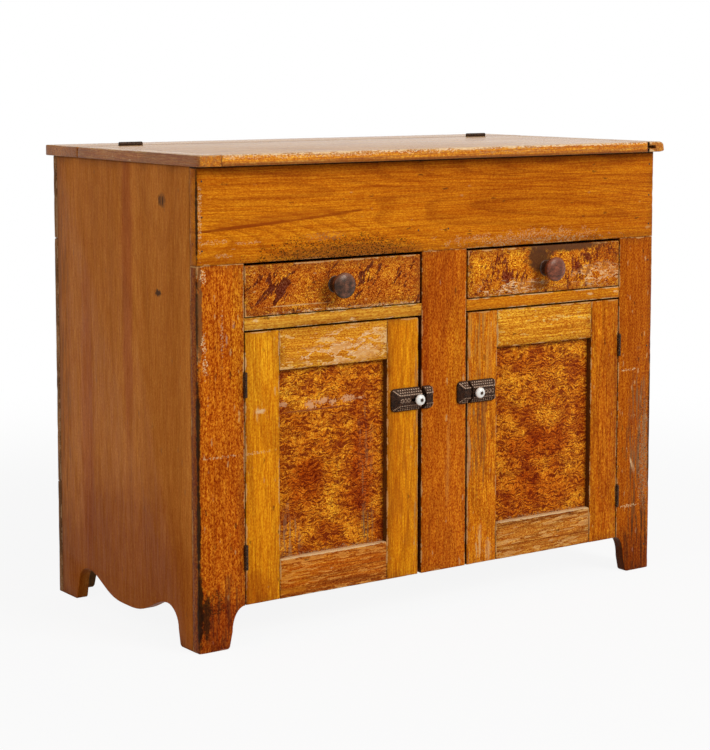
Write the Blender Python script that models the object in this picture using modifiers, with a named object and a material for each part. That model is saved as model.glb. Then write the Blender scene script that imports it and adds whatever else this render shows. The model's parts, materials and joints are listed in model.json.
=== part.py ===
"""A country cupboard with a lift-up lid over a well, two drawers and two panelled doors.

Metres, +Z up. X runs to the right along the front and Y runs from the front to the back.
The origin is under the middle of the piece, on the floor.
"""

import math
from typing import NamedTuple

import bmesh
import bpy
from mathutils import Matrix, Vector

# Fits
FIT = 0.0003  # between pieces that touch
EDGE_ROUND = 0.0012  # broken edge of a board

# Case
CASE_WIDTH = 1.070
CASE_DEPTH = 0.532
SIDE_THICKNESS = 0.022
FACE_THICKNESS = 0.022
BACK_THICKNESS = 0.014
SHELF_THICKNESS = 0.018
DADO_DEPTH = 0.008
LEFT_STILE_WIDTH = 0.0952
RIGHT_STILE_WIDTH = 0.088
CENTRE_STILE_WIDTH = 0.1056
BASE_CLEARANCE = 0.0735
DOOR_OPENING_HEIGHT = 0.4897
DRAWER_RAIL_HEIGHT = 0.0223
DRAWER_OPENING_HEIGHT = 0.0968
FASCIA_HEIGHT = 0.171
BOTTOM_BOARD_RISE = 0.0015
WELL_FLOOR_RISE = 0.001
GUIDE_HEIGHT = 0.030
BACK_TOP_HEIGHT = 0.159
BACK_FOOT_HEIGHT = 0.219

# Face frame joints
STILE_TENON_LENGTH = 0.024
STILE_TENON_SHOULDER = 0.020
RAIL_TENON_LENGTH = 0.012
RAIL_TENON_SHOULDER = 0.004
FACE_TENON_THICKNESS = 0.008

# Feet
FRONT_FOOT_WIDTH = 0.0685
BACK_FOOT_WIDTH = 0.076
BACK_FOOT_REACH = 0.030
FOOT_TAPER = 0.005
FOOT_CORNER = 0.007
FOOT_SPRING = 0.030
SIDE_FRONT_FOOT = 0.072
SIDE_BACK_FOOT = 0.082
SIDE_ARCH_REACH = 0.040
SIDE_ARCH_CROWN = 0.0685
SIDE_LOBE_LOW = 0.031
SIDE_LOBE_DRAW = 1.7  # how quickly the arch falls to the lobe

# Lid
LID_THICKNESS = 0.020
LID_END_OVERHANG = 0.0074
LID_FRONT_OVERHANG = 0.0244
LID_BACK_OVERHANG = 0.0165
LID_EDGE_ROUND = 0.003
HINGE_STRIP_DEPTH = 0.130
LID_JOINT_GAP = 0.002
LID_CLEAT_WIDTH = 0.045
LID_TONGUE_LENGTH = 0.014
LID_TONGUE_THICKNESS = 0.006
LID_TONGUE_SETBACK = 0.001
LID_RIGHT_TONGUE_SETBACK = 0.012  # leaves the end of the groove open

# Doors
DOOR_THICKNESS = 0.022
DOOR_HINGE_GAP = 0.002
LEFT_DOOR_FREE_GAP = 0.008
RIGHT_DOOR_FREE_GAP = 0.004
DOOR_TOP_GAP = 0.0035
DOOR_STILE_WIDTH = 0.072
DOOR_RAIL_WIDTH = 0.072
DOOR_TENON_LENGTH = 0.030
DOOR_TENON_SHOULDER = 0.013
DOOR_TENON_THICKNESS = 0.007
PANEL_RECESS = 0.012
PANEL_THICKNESS = 0.006
PANEL_TONGUE = 0.009

# Drawers
DRAWER_FRONT_THICKNESS = 0.022
DRAWER_BOARD_THICKNESS = 0.012
DRAWER_BOTTOM_THICKNESS = 0.006
DRAWER_BOTTOM_RISE = 0.008
DRAWER_GROOVE_DEPTH = 0.005
DRAWER_LAP = 0.010
DRAWER_LENGTH = 0.440
DRAWER_TOP_GAP = 0.005
DRAWER_BOTTOM_GAP = 0.001
DRAWER_OUTER_GAP = 0.002
DRAWER_INNER_GAP = 0.004
DRAWER_SIDE_DROP = 0.008

# Turned drawer knobs
KNOB_DIAMETER = 0.047
KNOB_PROJECTION = 0.038
KNOB_FACE_RISE = 0.009
KNOB_UNDERCUT = 0.013
KNOB_NECK_DIAMETER = 0.024
KNOB_BASE_DIAMETER = 0.031
KNOB_PEG_DIAMETER = 0.014

# Cupboard latches
LATCH_BELOW_DOOR_TOP = 0.1507
LATCH_WIDTH = 0.064
LATCH_HEIGHT = 0.043
LATCH_DEPTH = 0.0155
LATCH_RIM = 0.004
LATCH_RIDGE = 0.020
LATCH_WALL = 0.003
LATCH_SETBACK = 0.0008
LATCH_TRAVEL = 0.012
KEEPER_WIDTH = 0.023
KEEPER_POCKET = 0.014
BOLT_HEIGHT = 0.010
BOLT_DEPTH = 0.008
BOLT_TAIL = 0.008
BOLT_SHORT_OF_KEEPER = 0.0012
STEM_DIAMETER = 0.0042
STEM_SETBACK = 0.0115
PORCELAIN_DIAMETER = 0.0205
PORCELAIN_LENGTH = 0.0125
PORCELAIN_NECK_DIAMETER = 0.0115
PORCELAIN_WIDEST = 0.0073  # from the latch to the widest part of the ball
PORCELAIN_NECK_LENGTH = 0.0018
PORCELAIN_FACE_ANGLE = 78  # where the ball ends at the flat about its stem

TURNED_STEPS = 20
ROUND_SIDES = 14


class HingeSize(NamedTuple):
    """A three-knuckle butt hinge."""

    length: float
    barrel_radius: float
    pin_radius: float
    leaf_depth: float
    leaf_thickness: float


DOOR_HINGE = HingeSize(
    length=0.045,
    barrel_radius=0.003,
    pin_radius=0.0013,
    leaf_depth=0.017,
    leaf_thickness=0.0014,
)
DOOR_LOWER_HINGE_INSET = 0.0865  # from an end of the door to the middle of the hinge
DOOR_UPPER_HINGE_INSET = 0.0917
LID_HINGE = HingeSize(
    length=0.050,
    barrel_radius=0.0035,
    pin_radius=0.0016,
    leaf_depth=0.015,
    leaf_thickness=0.0016,
)
LID_LEFT_HINGE_INSET = 0.106  # from the end of the case to the middle of the hinge
LID_RIGHT_HINGE_INSET = 0.123

# Places worked out from the sizes
LEFT = -CASE_WIDTH / 2
RIGHT = CASE_WIDTH / 2
FRONT = (KNOB_PROJECTION - CASE_DEPTH - LID_BACK_OVERHANG) / 2
BACK = FRONT + CASE_DEPTH
FACE_BACK = FRONT + FACE_THICKNESS
INNER_BACK = BACK - BACK_THICKNESS
INNER_LEFT = LEFT + SIDE_THICKNESS
INNER_RIGHT = RIGHT - SIDE_THICKNESS

OPENING_WIDTH = (CASE_WIDTH - LEFT_STILE_WIDTH - CENTRE_STILE_WIDTH - RIGHT_STILE_WIDTH) / 2
LEFT_OPENING_START = LEFT + LEFT_STILE_WIDTH
LEFT_OPENING_END = LEFT_OPENING_START + OPENING_WIDTH
RIGHT_OPENING_START = LEFT_OPENING_END + CENTRE_STILE_WIDTH
RIGHT_OPENING_END = RIGHT_OPENING_START + OPENING_WIDTH

DOOR_HEAD = BASE_CLEARANCE + DOOR_OPENING_HEIGHT
DOOR_TOP = DOOR_HEAD - DOOR_TOP_GAP
DRAWER_SILL = DOOR_HEAD + DRAWER_RAIL_HEIGHT
DRAWER_HEAD = DRAWER_SILL + DRAWER_OPENING_HEIGHT
CASE_TOP = DRAWER_HEAD + FASCIA_HEIGHT
LID_UNDERSIDE = CASE_TOP + FIT
LID_TOP = LID_UNDERSIDE + LID_THICKNESS

BOTTOM_BOARD_LOW = BASE_CLEARANCE + BOTTOM_BOARD_RISE
DRAWER_BED_LOW = DRAWER_SILL - SHELF_THICKNESS
WELL_FLOOR_LOW = DRAWER_HEAD + WELL_FLOOR_RISE

LID_FRONT = FRONT - LID_FRONT_OVERHANG
LID_BACK = BACK + LID_BACK_OVERHANG
STRIP_FRONT = LID_BACK - HINGE_STRIP_DEPTH
LID_REAR_EDGE = STRIP_FRONT - LID_JOINT_GAP
LID_LEFT = LEFT - LID_END_OVERHANG
LID_RIGHT = RIGHT + LID_END_OVERHANG

FACE_MIDDLE = FRONT + FACE_THICKNESS / 2
DOOR_AXIS_Y = FRONT - DOOR_HINGE.barrel_radius - FIT
LID_AXIS_Y = (STRIP_FRONT + LID_REAR_EDGE) / 2
LID_AXIS_Z = LID_TOP + LID_HINGE.barrel_radius + FIT


def clear_scene() -> None:
    """Removes what the scene holds."""
    for old in list(bpy.data.objects):
        bpy.data.objects.remove(old, do_unlink=True)


def new_collection(name: str) -> bpy.types.Collection:
    """A collection linked to the scene."""
    made = bpy.data.collections.new(name)
    bpy.context.scene.collection.children.link(made)
    return made


clear_scene()
PARTS = new_collection("lift_top_cupboard")
HELPERS = new_collection("cutters")


def finish(name: str, colour: tuple, roughness: float, metallic: float = 0.0) -> bpy.types.Material:
    """A plain Principled material."""
    material = bpy.data.materials.new(name)
    material.use_nodes = True
    shader = material.node_tree.nodes["Principled BSDF"]
    shader.inputs["Base Color"].default_value = (*colour, 1.0)
    shader.inputs["Roughness"].default_value = roughness
    shader.inputs["Metallic"].default_value = metallic
    material.diffuse_color = (*colour, 1.0)
    return material


SIDE_VARNISH = finish("brown_varnished_board", (0.26, 0.16, 0.08), 0.45)
FACE_VARNISH = finish("orange_varnished_board", (0.52, 0.25, 0.07), 0.35)
DOOR_VARNISH = finish("golden_varnished_frame", (0.60, 0.33, 0.09), 0.35)
GRAIN_PAINT = finish("burl_grain_paint", (0.40, 0.16, 0.05), 0.35)
LID_VARNISH = finish("tan_varnished_lid", (0.42, 0.26, 0.13), 0.35)
BARE_WOOD = finish("bare_inside_board", (0.45, 0.31, 0.18), 0.7)
DARK_KNOB = finish("dark_turned_wood", (0.10, 0.04, 0.02), 0.4)
HINGE_IRON = finish("hinge_iron", (0.12, 0.09, 0.07), 0.5, 0.9)
CAST_IRON = finish("latch_cast_iron", (0.06, 0.045, 0.035), 0.5, 0.8)
PORCELAIN = finish("white_porcelain", (0.85, 0.85, 0.82), 0.15)


def helper(name: str, mesh: bpy.types.Mesh) -> bpy.types.Object:
    """A hidden object that only cuts or joins another one."""
    made = bpy.data.objects.new(name, mesh)
    made.hide_render = True
    made.display_type = "WIRE"
    HELPERS.objects.link(made)
    return made


def part(name: str, mesh: bpy.types.Mesh, material: bpy.types.Material, carrier=None) -> bpy.types.Object:
    """A named piece of the cupboard, carried by a joint's empty if one is given."""
    made = bpy.data.objects.new(name, mesh)
    made.data.materials.clear()
    made.data.materials.append(material)
    PARTS.objects.link(made)
    if carrier:
        hang(made, carrier)
    return made


def hang(child: bpy.types.Object, carrier: bpy.types.Object) -> None:
    """Parents a piece to an empty and leaves it in its place in the world."""
    child.parent = carrier
    child.matrix_parent_inverse = Matrix.Translation(carrier.location).inverted()


def joint_empty(name: str, location: Vector, carrier=None) -> bpy.types.Object:
    """An empty on a joint's axis, which carries the pieces that move about it."""
    made = bpy.data.objects.new(name, None)
    made.location = location
    made.empty_display_size = 0.05
    PARTS.objects.link(made)
    if carrier:
        hang(made, carrier)
    return made


def box_mesh(name: str, size: Vector) -> bpy.types.Mesh:
    """A box of this size about its own middle."""
    shape = bmesh.new()
    bmesh.ops.create_cube(shape, size=1.0)
    bmesh.ops.scale(shape, vec=size, verts=shape.verts)
    mesh = bpy.data.meshes.new(name)
    shape.to_mesh(mesh)
    shape.free()
    return mesh


def rod_mesh(name: str, radius: float, length: float) -> bpy.types.Mesh:
    """A capped cylinder along Z about its own middle."""
    shape = bmesh.new()
    bmesh.ops.create_cone(
        shape, cap_ends=True, segments=ROUND_SIDES, radius1=radius, radius2=radius, depth=length
    )
    mesh = bpy.data.meshes.new(name)
    shape.to_mesh(mesh)
    shape.free()
    return mesh


def box_helper(name: str, low: tuple, high: tuple) -> bpy.types.Object:
    """A hidden box between two corners."""
    low = Vector(low)
    high = Vector(high)
    made = helper(name, box_mesh(name, high - low))
    made.location = (low + high) / 2
    return made


def rod_helper(name: str, centre: tuple, radius: float, length: float, along_y=False) -> bpy.types.Object:
    """A hidden cylinder along Z, or along Y."""
    made = helper(name, rod_mesh(name, radius, length))
    made.location = centre
    if along_y:
        made.rotation_euler = (math.pi / 2, 0, 0)
    return made


def boolean(obj: bpy.types.Object, tool: bpy.types.Object, operation: str) -> None:
    """Joins a helper to a piece, or cuts it out of the piece."""
    step = obj.modifiers.new(tool.name, "BOOLEAN")
    step.operation = operation
    step.solver = "EXACT"
    step.object = tool


def cut_box(obj: bpy.types.Object, what: str, low: tuple, high: tuple) -> None:
    """Cuts a box out of a piece."""
    boolean(obj, box_helper(f"{obj.name}_{what}", low, high), "DIFFERENCE")


def join_box(obj: bpy.types.Object, what: str, low: tuple, high: tuple) -> None:
    """Joins a box to a piece."""
    boolean(obj, box_helper(f"{obj.name}_{what}", low, high), "UNION")


def fused_mesh(name: str, solids: list, cuts: list) -> bpy.types.Mesh:
    """One mesh from helpers: the solids joined, then the cuts taken out. The helpers are removed."""
    first = solids[0]
    for other in solids[1:]:
        boolean(first, other, "UNION")
    for other in cuts:
        boolean(first, other, "DIFFERENCE")
    bpy.context.view_layer.update()
    graph = bpy.context.evaluated_depsgraph_get()
    mesh = bpy.data.meshes.new_from_object(first.evaluated_get(graph))
    mesh.name = name
    mesh.transform(first.matrix_world)
    for used in solids + cuts:
        bpy.data.objects.remove(used, do_unlink=True)
    return mesh


def board(name: str, low: tuple, high: tuple, material, carrier=None, edge=EDGE_ROUND) -> bpy.types.Object:
    """A sawn board between two corners, with its edges broken."""
    low = Vector(low)
    high = Vector(high)
    made = part(name, box_mesh(name, high - low), material)
    made.location = (low + high) / 2
    if carrier:
        hang(made, carrier)
    bevel = made.modifiers.new("broken_edges", "BEVEL")
    bevel.width = edge
    bevel.segments = 1
    return made


def outline_mesh(name: str, outline: list, thickness: float) -> bpy.types.Mesh:
    """A flat outline with a thickness, made from a filled curve and welded into a closed mesh."""
    curve = bpy.data.curves.new(name, "CURVE")
    curve.dimensions = "2D"
    curve.fill_mode = "BOTH"
    curve.extrude = thickness / 2
    spline = curve.splines.new("POLY")
    spline.points.add(len(outline) - 1)
    for point, (across, up) in zip(spline.points, outline):
        point.co = (across, up, 0, 1)
    spline.use_cyclic_u = True
    guide = helper(name + "_outline", curve)
    bpy.context.view_layer.update()
    graph = bpy.context.evaluated_depsgraph_get()
    mesh = bpy.data.meshes.new_from_object(guide.evaluated_get(graph))
    bpy.data.objects.remove(guide, do_unlink=True)
    shape = bmesh.new()
    shape.from_mesh(mesh)
    bmesh.ops.remove_doubles(shape, verts=shape.verts, dist=1e-5)
    bmesh.ops.recalc_face_normals(shape, faces=shape.faces)
    shape.to_mesh(mesh)
    shape.free()
    mesh.name = name
    return mesh


def front_outline(name: str, outline: list, front: float, thickness: float, material) -> bpy.types.Object:
    """A board whose outline is drawn in X and Z, standing parallel to the front."""
    made = part(name, outline_mesh(name, outline, thickness), material)
    made.rotation_euler = (math.pi / 2, 0, 0)
    made.location = (0, front + thickness / 2, 0)
    return made


def turned_mesh(name: str, profile: list) -> bpy.types.Mesh:
    """A shape turned about Z from (radius, height) points that run down its outer side."""
    mesh = bpy.data.meshes.new(name + "_profile")
    edges = [(i, i + 1) for i in range(len(profile) - 1)]
    mesh.from_pydata([(radius, 0, height) for radius, height in profile], edges, [])
    guide = helper(name + "_profile", mesh)
    turn = guide.modifiers.new("turned", "SCREW")
    turn.axis = "Z"
    turn.steps = TURNED_STEPS
    turn.render_steps = TURNED_STEPS
    turn.use_merge_vertices = True
    turn.merge_threshold = 1e-5
    bpy.context.view_layer.update()
    graph = bpy.context.evaluated_depsgraph_get()
    made = bpy.data.meshes.new_from_object(guide.evaluated_get(graph))
    bpy.data.objects.remove(guide, do_unlink=True)
    made.name = name
    made.shade_smooth()
    made.set_sharp_from_angle(angle=math.radians(40))
    return made


def arc(centre: tuple, radii: tuple, start: float, end: float, steps: int) -> list:
    """Points along an elliptical arc, with the angles in degrees."""
    points = []
    for i in range(steps + 1):
        angle = math.radians(start + (end - start) * i / steps)
        points.append((centre[0] + radii[0] * math.cos(angle), centre[1] + radii[1] * math.sin(angle)))
    return points


def foot_curve(width: float, reach: float, crown: float) -> list:
    """The inner edge of a foot from the floor up, as (distance from the outer edge, height).

    A worn corner, a leg that widens a little, then a quarter ellipse up to the crown of the arch.
    """
    toe = width - FOOT_TAPER
    points = arc((toe - FOOT_CORNER, FOOT_CORNER), (FOOT_CORNER, FOOT_CORNER), -90, 0, 4)
    points += arc((width + reach, FOOT_SPRING), (reach, crown - FOOT_SPRING), 180, 90, 8)
    return points


def lobe_curve(crown_start: float, crown_end: float) -> list:
    """The hanging lobe between two arches of a side, as (distance from the front, height)."""
    middle = (crown_start + crown_end) / 2
    half = (crown_end - crown_start) / 2
    steps = 24
    points = []
    for i in range(1, steps):
        across = crown_start + (crown_end - crown_start) * i / steps
        share = 1 - abs(across - middle) / half
        drop = ((1 + math.cos(math.pi * share)) / 2) ** SIDE_LOBE_DRAW
        points.append((across, SIDE_LOBE_LOW + (SIDE_ARCH_CROWN - SIDE_LOBE_LOW) * drop))
    return points


def side_outline() -> list:
    """A side's outline in Y and Z: two feet with a scalloped edge between them."""
    front_edge = FACE_BACK + FIT
    back_edge = INNER_BACK - FIT
    front_foot = [(FRONT + d, z) for d, z in foot_curve(SIDE_FRONT_FOOT, SIDE_ARCH_REACH, SIDE_ARCH_CROWN)]
    back_foot = [(BACK - d, z) for d, z in foot_curve(SIDE_BACK_FOOT, SIDE_ARCH_REACH, SIDE_ARCH_CROWN)]
    lobe = lobe_curve(front_foot[-1][0], back_foot[-1][0])
    corners_low = [(front_edge, 0)]
    corners_high = [(back_edge, 0), (back_edge, CASE_TOP), (front_edge, CASE_TOP)]
    return corners_low + front_foot + lobe + back_foot[::-1] + corners_high


def make_sides() -> None:
    """The two side boards, with dadoes for the three shelves."""
    outline = side_outline()
    for name, inner, outward in (("left", INNER_LEFT, -1), ("right", INNER_RIGHT, 1)):
        mesh = outline_mesh(f"{name}_side_panel", outline, SIDE_THICKNESS)
        panel = part(f"{name}_side_panel", mesh, SIDE_VARNISH)
        panel.rotation_euler = (math.pi / 2, 0, math.pi / 2)
        panel.location = (inner + outward * SIDE_THICKNESS / 2, 0, 0)
        deep = inner + outward * (DADO_DEPTH + FIT)
        clear = inner - outward * SIDE_THICKNESS
        for shelf, low in shelf_levels():
            start = (min(deep, clear), FRONT - FIT, low - FIT)
            end = (max(deep, clear), BACK + FIT, low + SHELF_THICKNESS + FIT)
            cut_box(panel, f"{shelf}_dado", start, end)


def shelf_levels() -> list:
    """The shelves that cross the case, with the height of each one's underside."""
    return [("bottom", BOTTOM_BOARD_LOW), ("bed", DRAWER_BED_LOW), ("well", WELL_FLOOR_LOW)]


def make_shelves() -> None:
    """The cupboard's bottom, the bed that the drawers run on and the floor of the well."""
    left = INNER_LEFT - DADO_DEPTH
    right = INNER_RIGHT + DADO_DEPTH
    front = FACE_BACK + FIT
    back = INNER_BACK - FIT
    names = {"bottom": "bottom_board", "bed": "drawer_bed", "well": "well_floor"}
    for shelf, low in shelf_levels():
        made = board(names[shelf], (left, front, low), (right, back, low + SHELF_THICKNESS), BARE_WOOD)
        if shelf != "bed":
            continue
        guides = {
            "left_guide": (INNER_LEFT + FIT, LEFT_OPENING_START),
            "centre_guide": (LEFT_OPENING_END, RIGHT_OPENING_START),
            "right_guide": (RIGHT_OPENING_END, INNER_RIGHT - FIT),
        }
        inset = EDGE_ROUND
        for guide, (start, end) in guides.items():
            sunk = DRAWER_SILL - SHELF_THICKNESS / 2
            low_corner = (start, front + inset, sunk)
            join_box(made, guide, low_corner, (end, back - inset, DRAWER_SILL + GUIDE_HEIGHT))


def make_back() -> None:
    """Three boards across the back. The lowest has a foot at each end."""
    top_low = CASE_TOP - BACK_TOP_HEIGHT
    middle_low = BACK_FOOT_HEIGHT + FIT
    board("back_top_board", (LEFT, INNER_BACK, top_low + FIT), (RIGHT, BACK, CASE_TOP), SIDE_VARNISH)
    board("back_middle_board", (LEFT, INNER_BACK, middle_low), (RIGHT, BACK, top_low), SIDE_VARNISH)
    foot = foot_curve(BACK_FOOT_WIDTH, BACK_FOOT_REACH, BASE_CLEARANCE)
    outline = [(LEFT, 0)]
    outline += [(LEFT + d, z) for d, z in foot]
    outline += [(RIGHT - d, z) for d, z in reversed(foot)]
    outline += [(RIGHT, 0), (RIGHT, BACK_FOOT_HEIGHT), (LEFT, BACK_FOOT_HEIGHT)]
    front_outline("back_foot_board", outline, INNER_BACK, BACK_THICKNESS, SIDE_VARNISH)


def add_stile_tenon(stile: bpy.types.Object, fascia: bpy.types.Object, start: float, end: float) -> None:
    """A tenon on top of a stile, and its mortise in the fascia."""
    half = FACE_TENON_THICKNESS / 2
    left = start + STILE_TENON_SHOULDER
    right = end - STILE_TENON_SHOULDER
    root = DRAWER_HEAD - STILE_TENON_LENGTH
    tip = DRAWER_HEAD + STILE_TENON_LENGTH
    join_box(stile, "tenon", (left, FACE_MIDDLE - half, root), (right, FACE_MIDDLE + half, tip))
    mortise_low = (left - FIT, FACE_MIDDLE - half - FIT, root)
    mortise_high = (right + FIT, FACE_MIDDLE + half + FIT, tip + FIT)
    cut_box(fascia, f"{stile.name}_mortise", mortise_low, mortise_high)


def make_face_frame() -> dict:
    """The fascia, the three stiles and the two rails under the drawers. Returns the stiles by name."""
    fascia = board("fascia_board", (LEFT, FRONT, DRAWER_HEAD), (RIGHT, FACE_BACK, CASE_TOP), FACE_VARNISH)
    stile_top = DRAWER_HEAD - FIT
    left_foot = foot_curve(FRONT_FOOT_WIDTH, LEFT_STILE_WIDTH - FRONT_FOOT_WIDTH, BASE_CLEARANCE)
    left_outline = [(LEFT, 0)] + [(LEFT + d, z) for d, z in left_foot]
    left_outline += [(LEFT_OPENING_START, stile_top), (LEFT, stile_top)]
    right_foot = foot_curve(FRONT_FOOT_WIDTH, RIGHT_STILE_WIDTH - FRONT_FOOT_WIDTH, BASE_CLEARANCE)
    right_outline = [(RIGHT, 0)] + [(RIGHT - d, z) for d, z in right_foot]
    right_outline += [(RIGHT_OPENING_END, stile_top), (RIGHT, stile_top)]
    stiles = {
        "left": front_outline("left_face_stile", left_outline, FRONT, FACE_THICKNESS, FACE_VARNISH),
        "right": front_outline("right_face_stile", right_outline, FRONT, FACE_THICKNESS, FACE_VARNISH),
        "centre": board(
            "centre_face_stile",
            (LEFT_OPENING_END, FRONT, BASE_CLEARANCE),
            (RIGHT_OPENING_START, FACE_BACK, stile_top),
            FACE_VARNISH,
        ),
    }
    add_stile_tenon(stiles["left"], fascia, LEFT, LEFT_OPENING_START)
    add_stile_tenon(stiles["centre"], fascia, LEFT_OPENING_END, RIGHT_OPENING_START)
    add_stile_tenon(stiles["right"], fascia, RIGHT_OPENING_END, RIGHT)
    rails = (
        ("left_drawer_rail", LEFT_OPENING_START, LEFT_OPENING_END, stiles["left"], stiles["centre"]),
        ("right_drawer_rail", RIGHT_OPENING_START, RIGHT_OPENING_END, stiles["centre"], stiles["right"]),
    )
    for name, start, end, first, last in rails:
        rail_low = (start + FIT, FRONT, DOOR_HEAD)
        rail = board(name, rail_low, (end - FIT, FACE_BACK, DRAWER_SILL), FACE_VARNISH)
        half = FACE_TENON_THICKNESS / 2
        low = DOOR_HEAD + RAIL_TENON_SHOULDER
        high = DRAWER_SILL - RAIL_TENON_SHOULDER
        for stile, edge, outward in ((first, start, -1), (last, end, 1)):
            reach = edge + outward * RAIL_TENON_LENGTH
            root = edge - outward * RAIL_TENON_LENGTH
            span = (min(reach, root), max(reach, root))
            corner = (span[0], FACE_MIDDLE - half, low)
            join_box(rail, f"tenon_{stile.name}", corner, (span[1], FACE_MIDDLE + half, high))
            corner = (span[0] - FIT, FACE_MIDDLE - half - FIT, low - FIT)
            cut_box(stile, f"{name}_mortise", corner, (span[1] + FIT, FACE_MIDDLE + half + FIT, high + FIT))
    return stiles


def leaf_mesh(name: str, size: HingeSize, gap: float, moving: bool) -> bpy.types.Mesh:
    """One leaf of a hinge whose pin is along Z at the origin and whose leaves run along +Y.

    The fixed leaf lies at -X with the outer knuckles and the pin, the moving one at +X with the middle one.
    """
    side = 1 if moving else -1
    face = side * gap / 2
    outer = side * (gap / 2 + size.leaf_thickness)
    start = size.barrel_radius + FIT
    half = size.length / 2
    knuckle = size.length / 3
    plate = box_helper(
        name + "_plate",
        (min(face, outer), start, -half),
        (max(face, outer), start + size.leaf_depth, half),
    )
    solids = [plate]
    for middle in (0.0,) if moving else (-knuckle, knuckle):
        length = knuckle - FIT
        solids.append(rod_helper(f"{name}_knuckle", (0, 0, middle), size.barrel_radius, length))
        web = length / 2 - FIT
        solids.append(
            box_helper(
                f"{name}_web",
                (min(face, outer), 0, middle - web),
                (max(face, outer), start + size.leaf_thickness, middle + web),
            )
        )
    if moving:
        bore = rod_helper(name + "_bore", (0, 0, 0), size.pin_radius + FIT, size.length)
        return fused_mesh(name, solids, [bore])
    solids.append(rod_helper(name + "_pin", (0, 0, 0), size.pin_radius, size.length - knuckle))
    return fused_mesh(name, solids, [])


def cut_leaf_recess(wood, what: str, size: HingeSize, matrix: Matrix, side: int, gap: float) -> None:
    """Lets a hinge leaf into the edge of a board. The matrix places the hinge."""
    start = size.barrel_radius - FIT
    depth = start + size.leaf_depth + 3 * FIT
    half = size.length / 2 + FIT
    inner = side * FIT
    outer = side * (gap / 2 + size.leaf_thickness + FIT)
    cutter = box_helper(
        f"{wood.name}_{what}",
        (min(inner, outer), start, -half),
        (max(inner, outer), depth, half),
    )
    cutter.matrix_world = matrix @ Matrix.Translation(cutter.location)
    boolean(wood, cutter, "DIFFERENCE")


def make_hinge(name: str, size: HingeSize, gap: float, matrix: Matrix, meshes, woods, carrier) -> None:
    """A fixed and a moving leaf placed by a matrix, let into the boards that they are screwed to."""
    for mesh, wood, side, ending in zip(meshes, woods, (-1, 1), ("fixed_leaf", "moving_leaf")):
        leaf = part(f"{name}_{ending}", mesh, HINGE_IRON)
        leaf.matrix_world = matrix
        if ending == "moving_leaf":
            hang(leaf, carrier)
        cut_leaf_recess(wood, f"{name}_recess", size, matrix, side, gap)


def door_members(side: str, start: float, end: float, hinge_on_left: bool, carrier) -> dict:
    """A door's two stiles, two rails and flat panel, tongued and tenoned together."""
    low = BASE_CLEARANCE
    high = DOOR_TOP
    back = FRONT + DOOR_THICKNESS
    inner_start = start + DOOR_STILE_WIDTH
    inner_end = end - DOOR_STILE_WIDTH
    inner_low = low + DOOR_RAIL_WIDTH
    inner_high = high - DOOR_RAIL_WIDTH
    names = ("hinge_stile", "latch_stile") if hinge_on_left else ("latch_stile", "hinge_stile")
    made = {}
    corners = {
        names[0]: ((start, FRONT, low), (inner_start - FIT, back, high)),
        names[1]: ((inner_end + FIT, FRONT, low), (end, back, high)),
        "bottom_rail": ((inner_start, FRONT, low), (inner_end, back, inner_low)),
        "top_rail": ((inner_start, FRONT, inner_high), (inner_end, back, high)),
    }
    for member, (near, far) in corners.items():
        made[member] = board(f"{side}_door_{member}", near, far, DOOR_VARNISH, carrier)
    panel_front = FRONT + PANEL_RECESS
    panel_back = panel_front + PANEL_THICKNESS
    panel_low = (inner_start - PANEL_TONGUE, panel_front, inner_low - PANEL_TONGUE)
    panel_high = (inner_end + PANEL_TONGUE, panel_back, inner_high + PANEL_TONGUE)
    made["panel"] = board(f"{side}_door_panel", panel_low, panel_high, GRAIN_PAINT, carrier, FIT)
    groove_low = tuple(corner - FIT for corner in panel_low)
    groove_high = tuple(corner + FIT for corner in panel_high)
    for member in ("hinge_stile", "latch_stile", "bottom_rail", "top_rail"):
        cut_box(made[member], "groove", groove_low, groove_high)
    half = DOOR_TENON_THICKNESS / 2
    middle = FRONT + DOOR_THICKNESS / 2
    tenons = {
        "bottom_rail": (low + DOOR_TENON_SHOULDER, inner_low - DOOR_TENON_SHOULDER),
        "top_rail": (inner_high + DOOR_TENON_SHOULDER, high - DOOR_TENON_SHOULDER),
    }
    for rail, (tenon_low, tenon_high) in tenons.items():
        for stile, edge, outward in ((names[0], inner_start, -1), (names[1], inner_end, 1)):
            reach = edge + outward * DOOR_TENON_LENGTH
            root = edge - outward * DOOR_TENON_SHOULDER
            span = (min(reach, root), max(reach, root))
            corner = (span[0], middle - half, tenon_low)
            join_box(made[rail], f"{stile}_tenon", corner, (span[1], middle + half, tenon_high))
            corner = (span[0] - FIT, middle - half - FIT, tenon_low - FIT)
            far = (span[1] + FIT, middle + half + FIT, tenon_high + FIT)
            cut_box(made[stile], f"{rail}_mortise", corner, far)
    return made


def latch_section(name: str, width: float) -> bpy.types.Object:
    """A helper with the latch's section, flat at the back with sloping faces, along X about its middle."""
    half = LATCH_HEIGHT / 2
    ridge = LATCH_RIDGE / 2
    outline = [
        (0, -half),
        (0, half),
        (-LATCH_RIM, half),
        (-LATCH_DEPTH, ridge),
        (-LATCH_DEPTH, -ridge),
        (-LATCH_RIM, -half),
    ]
    made = helper(name, outline_mesh(name, outline, width))
    made.rotation_euler = (math.pi / 2, 0, math.pi / 2)
    return made


def bolt_span() -> tuple:
    """How far the bolt's back and front lie in front of the door."""
    near = LATCH_DEPTH - LATCH_WALL - FIT
    return near - BOLT_DEPTH, near


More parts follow.
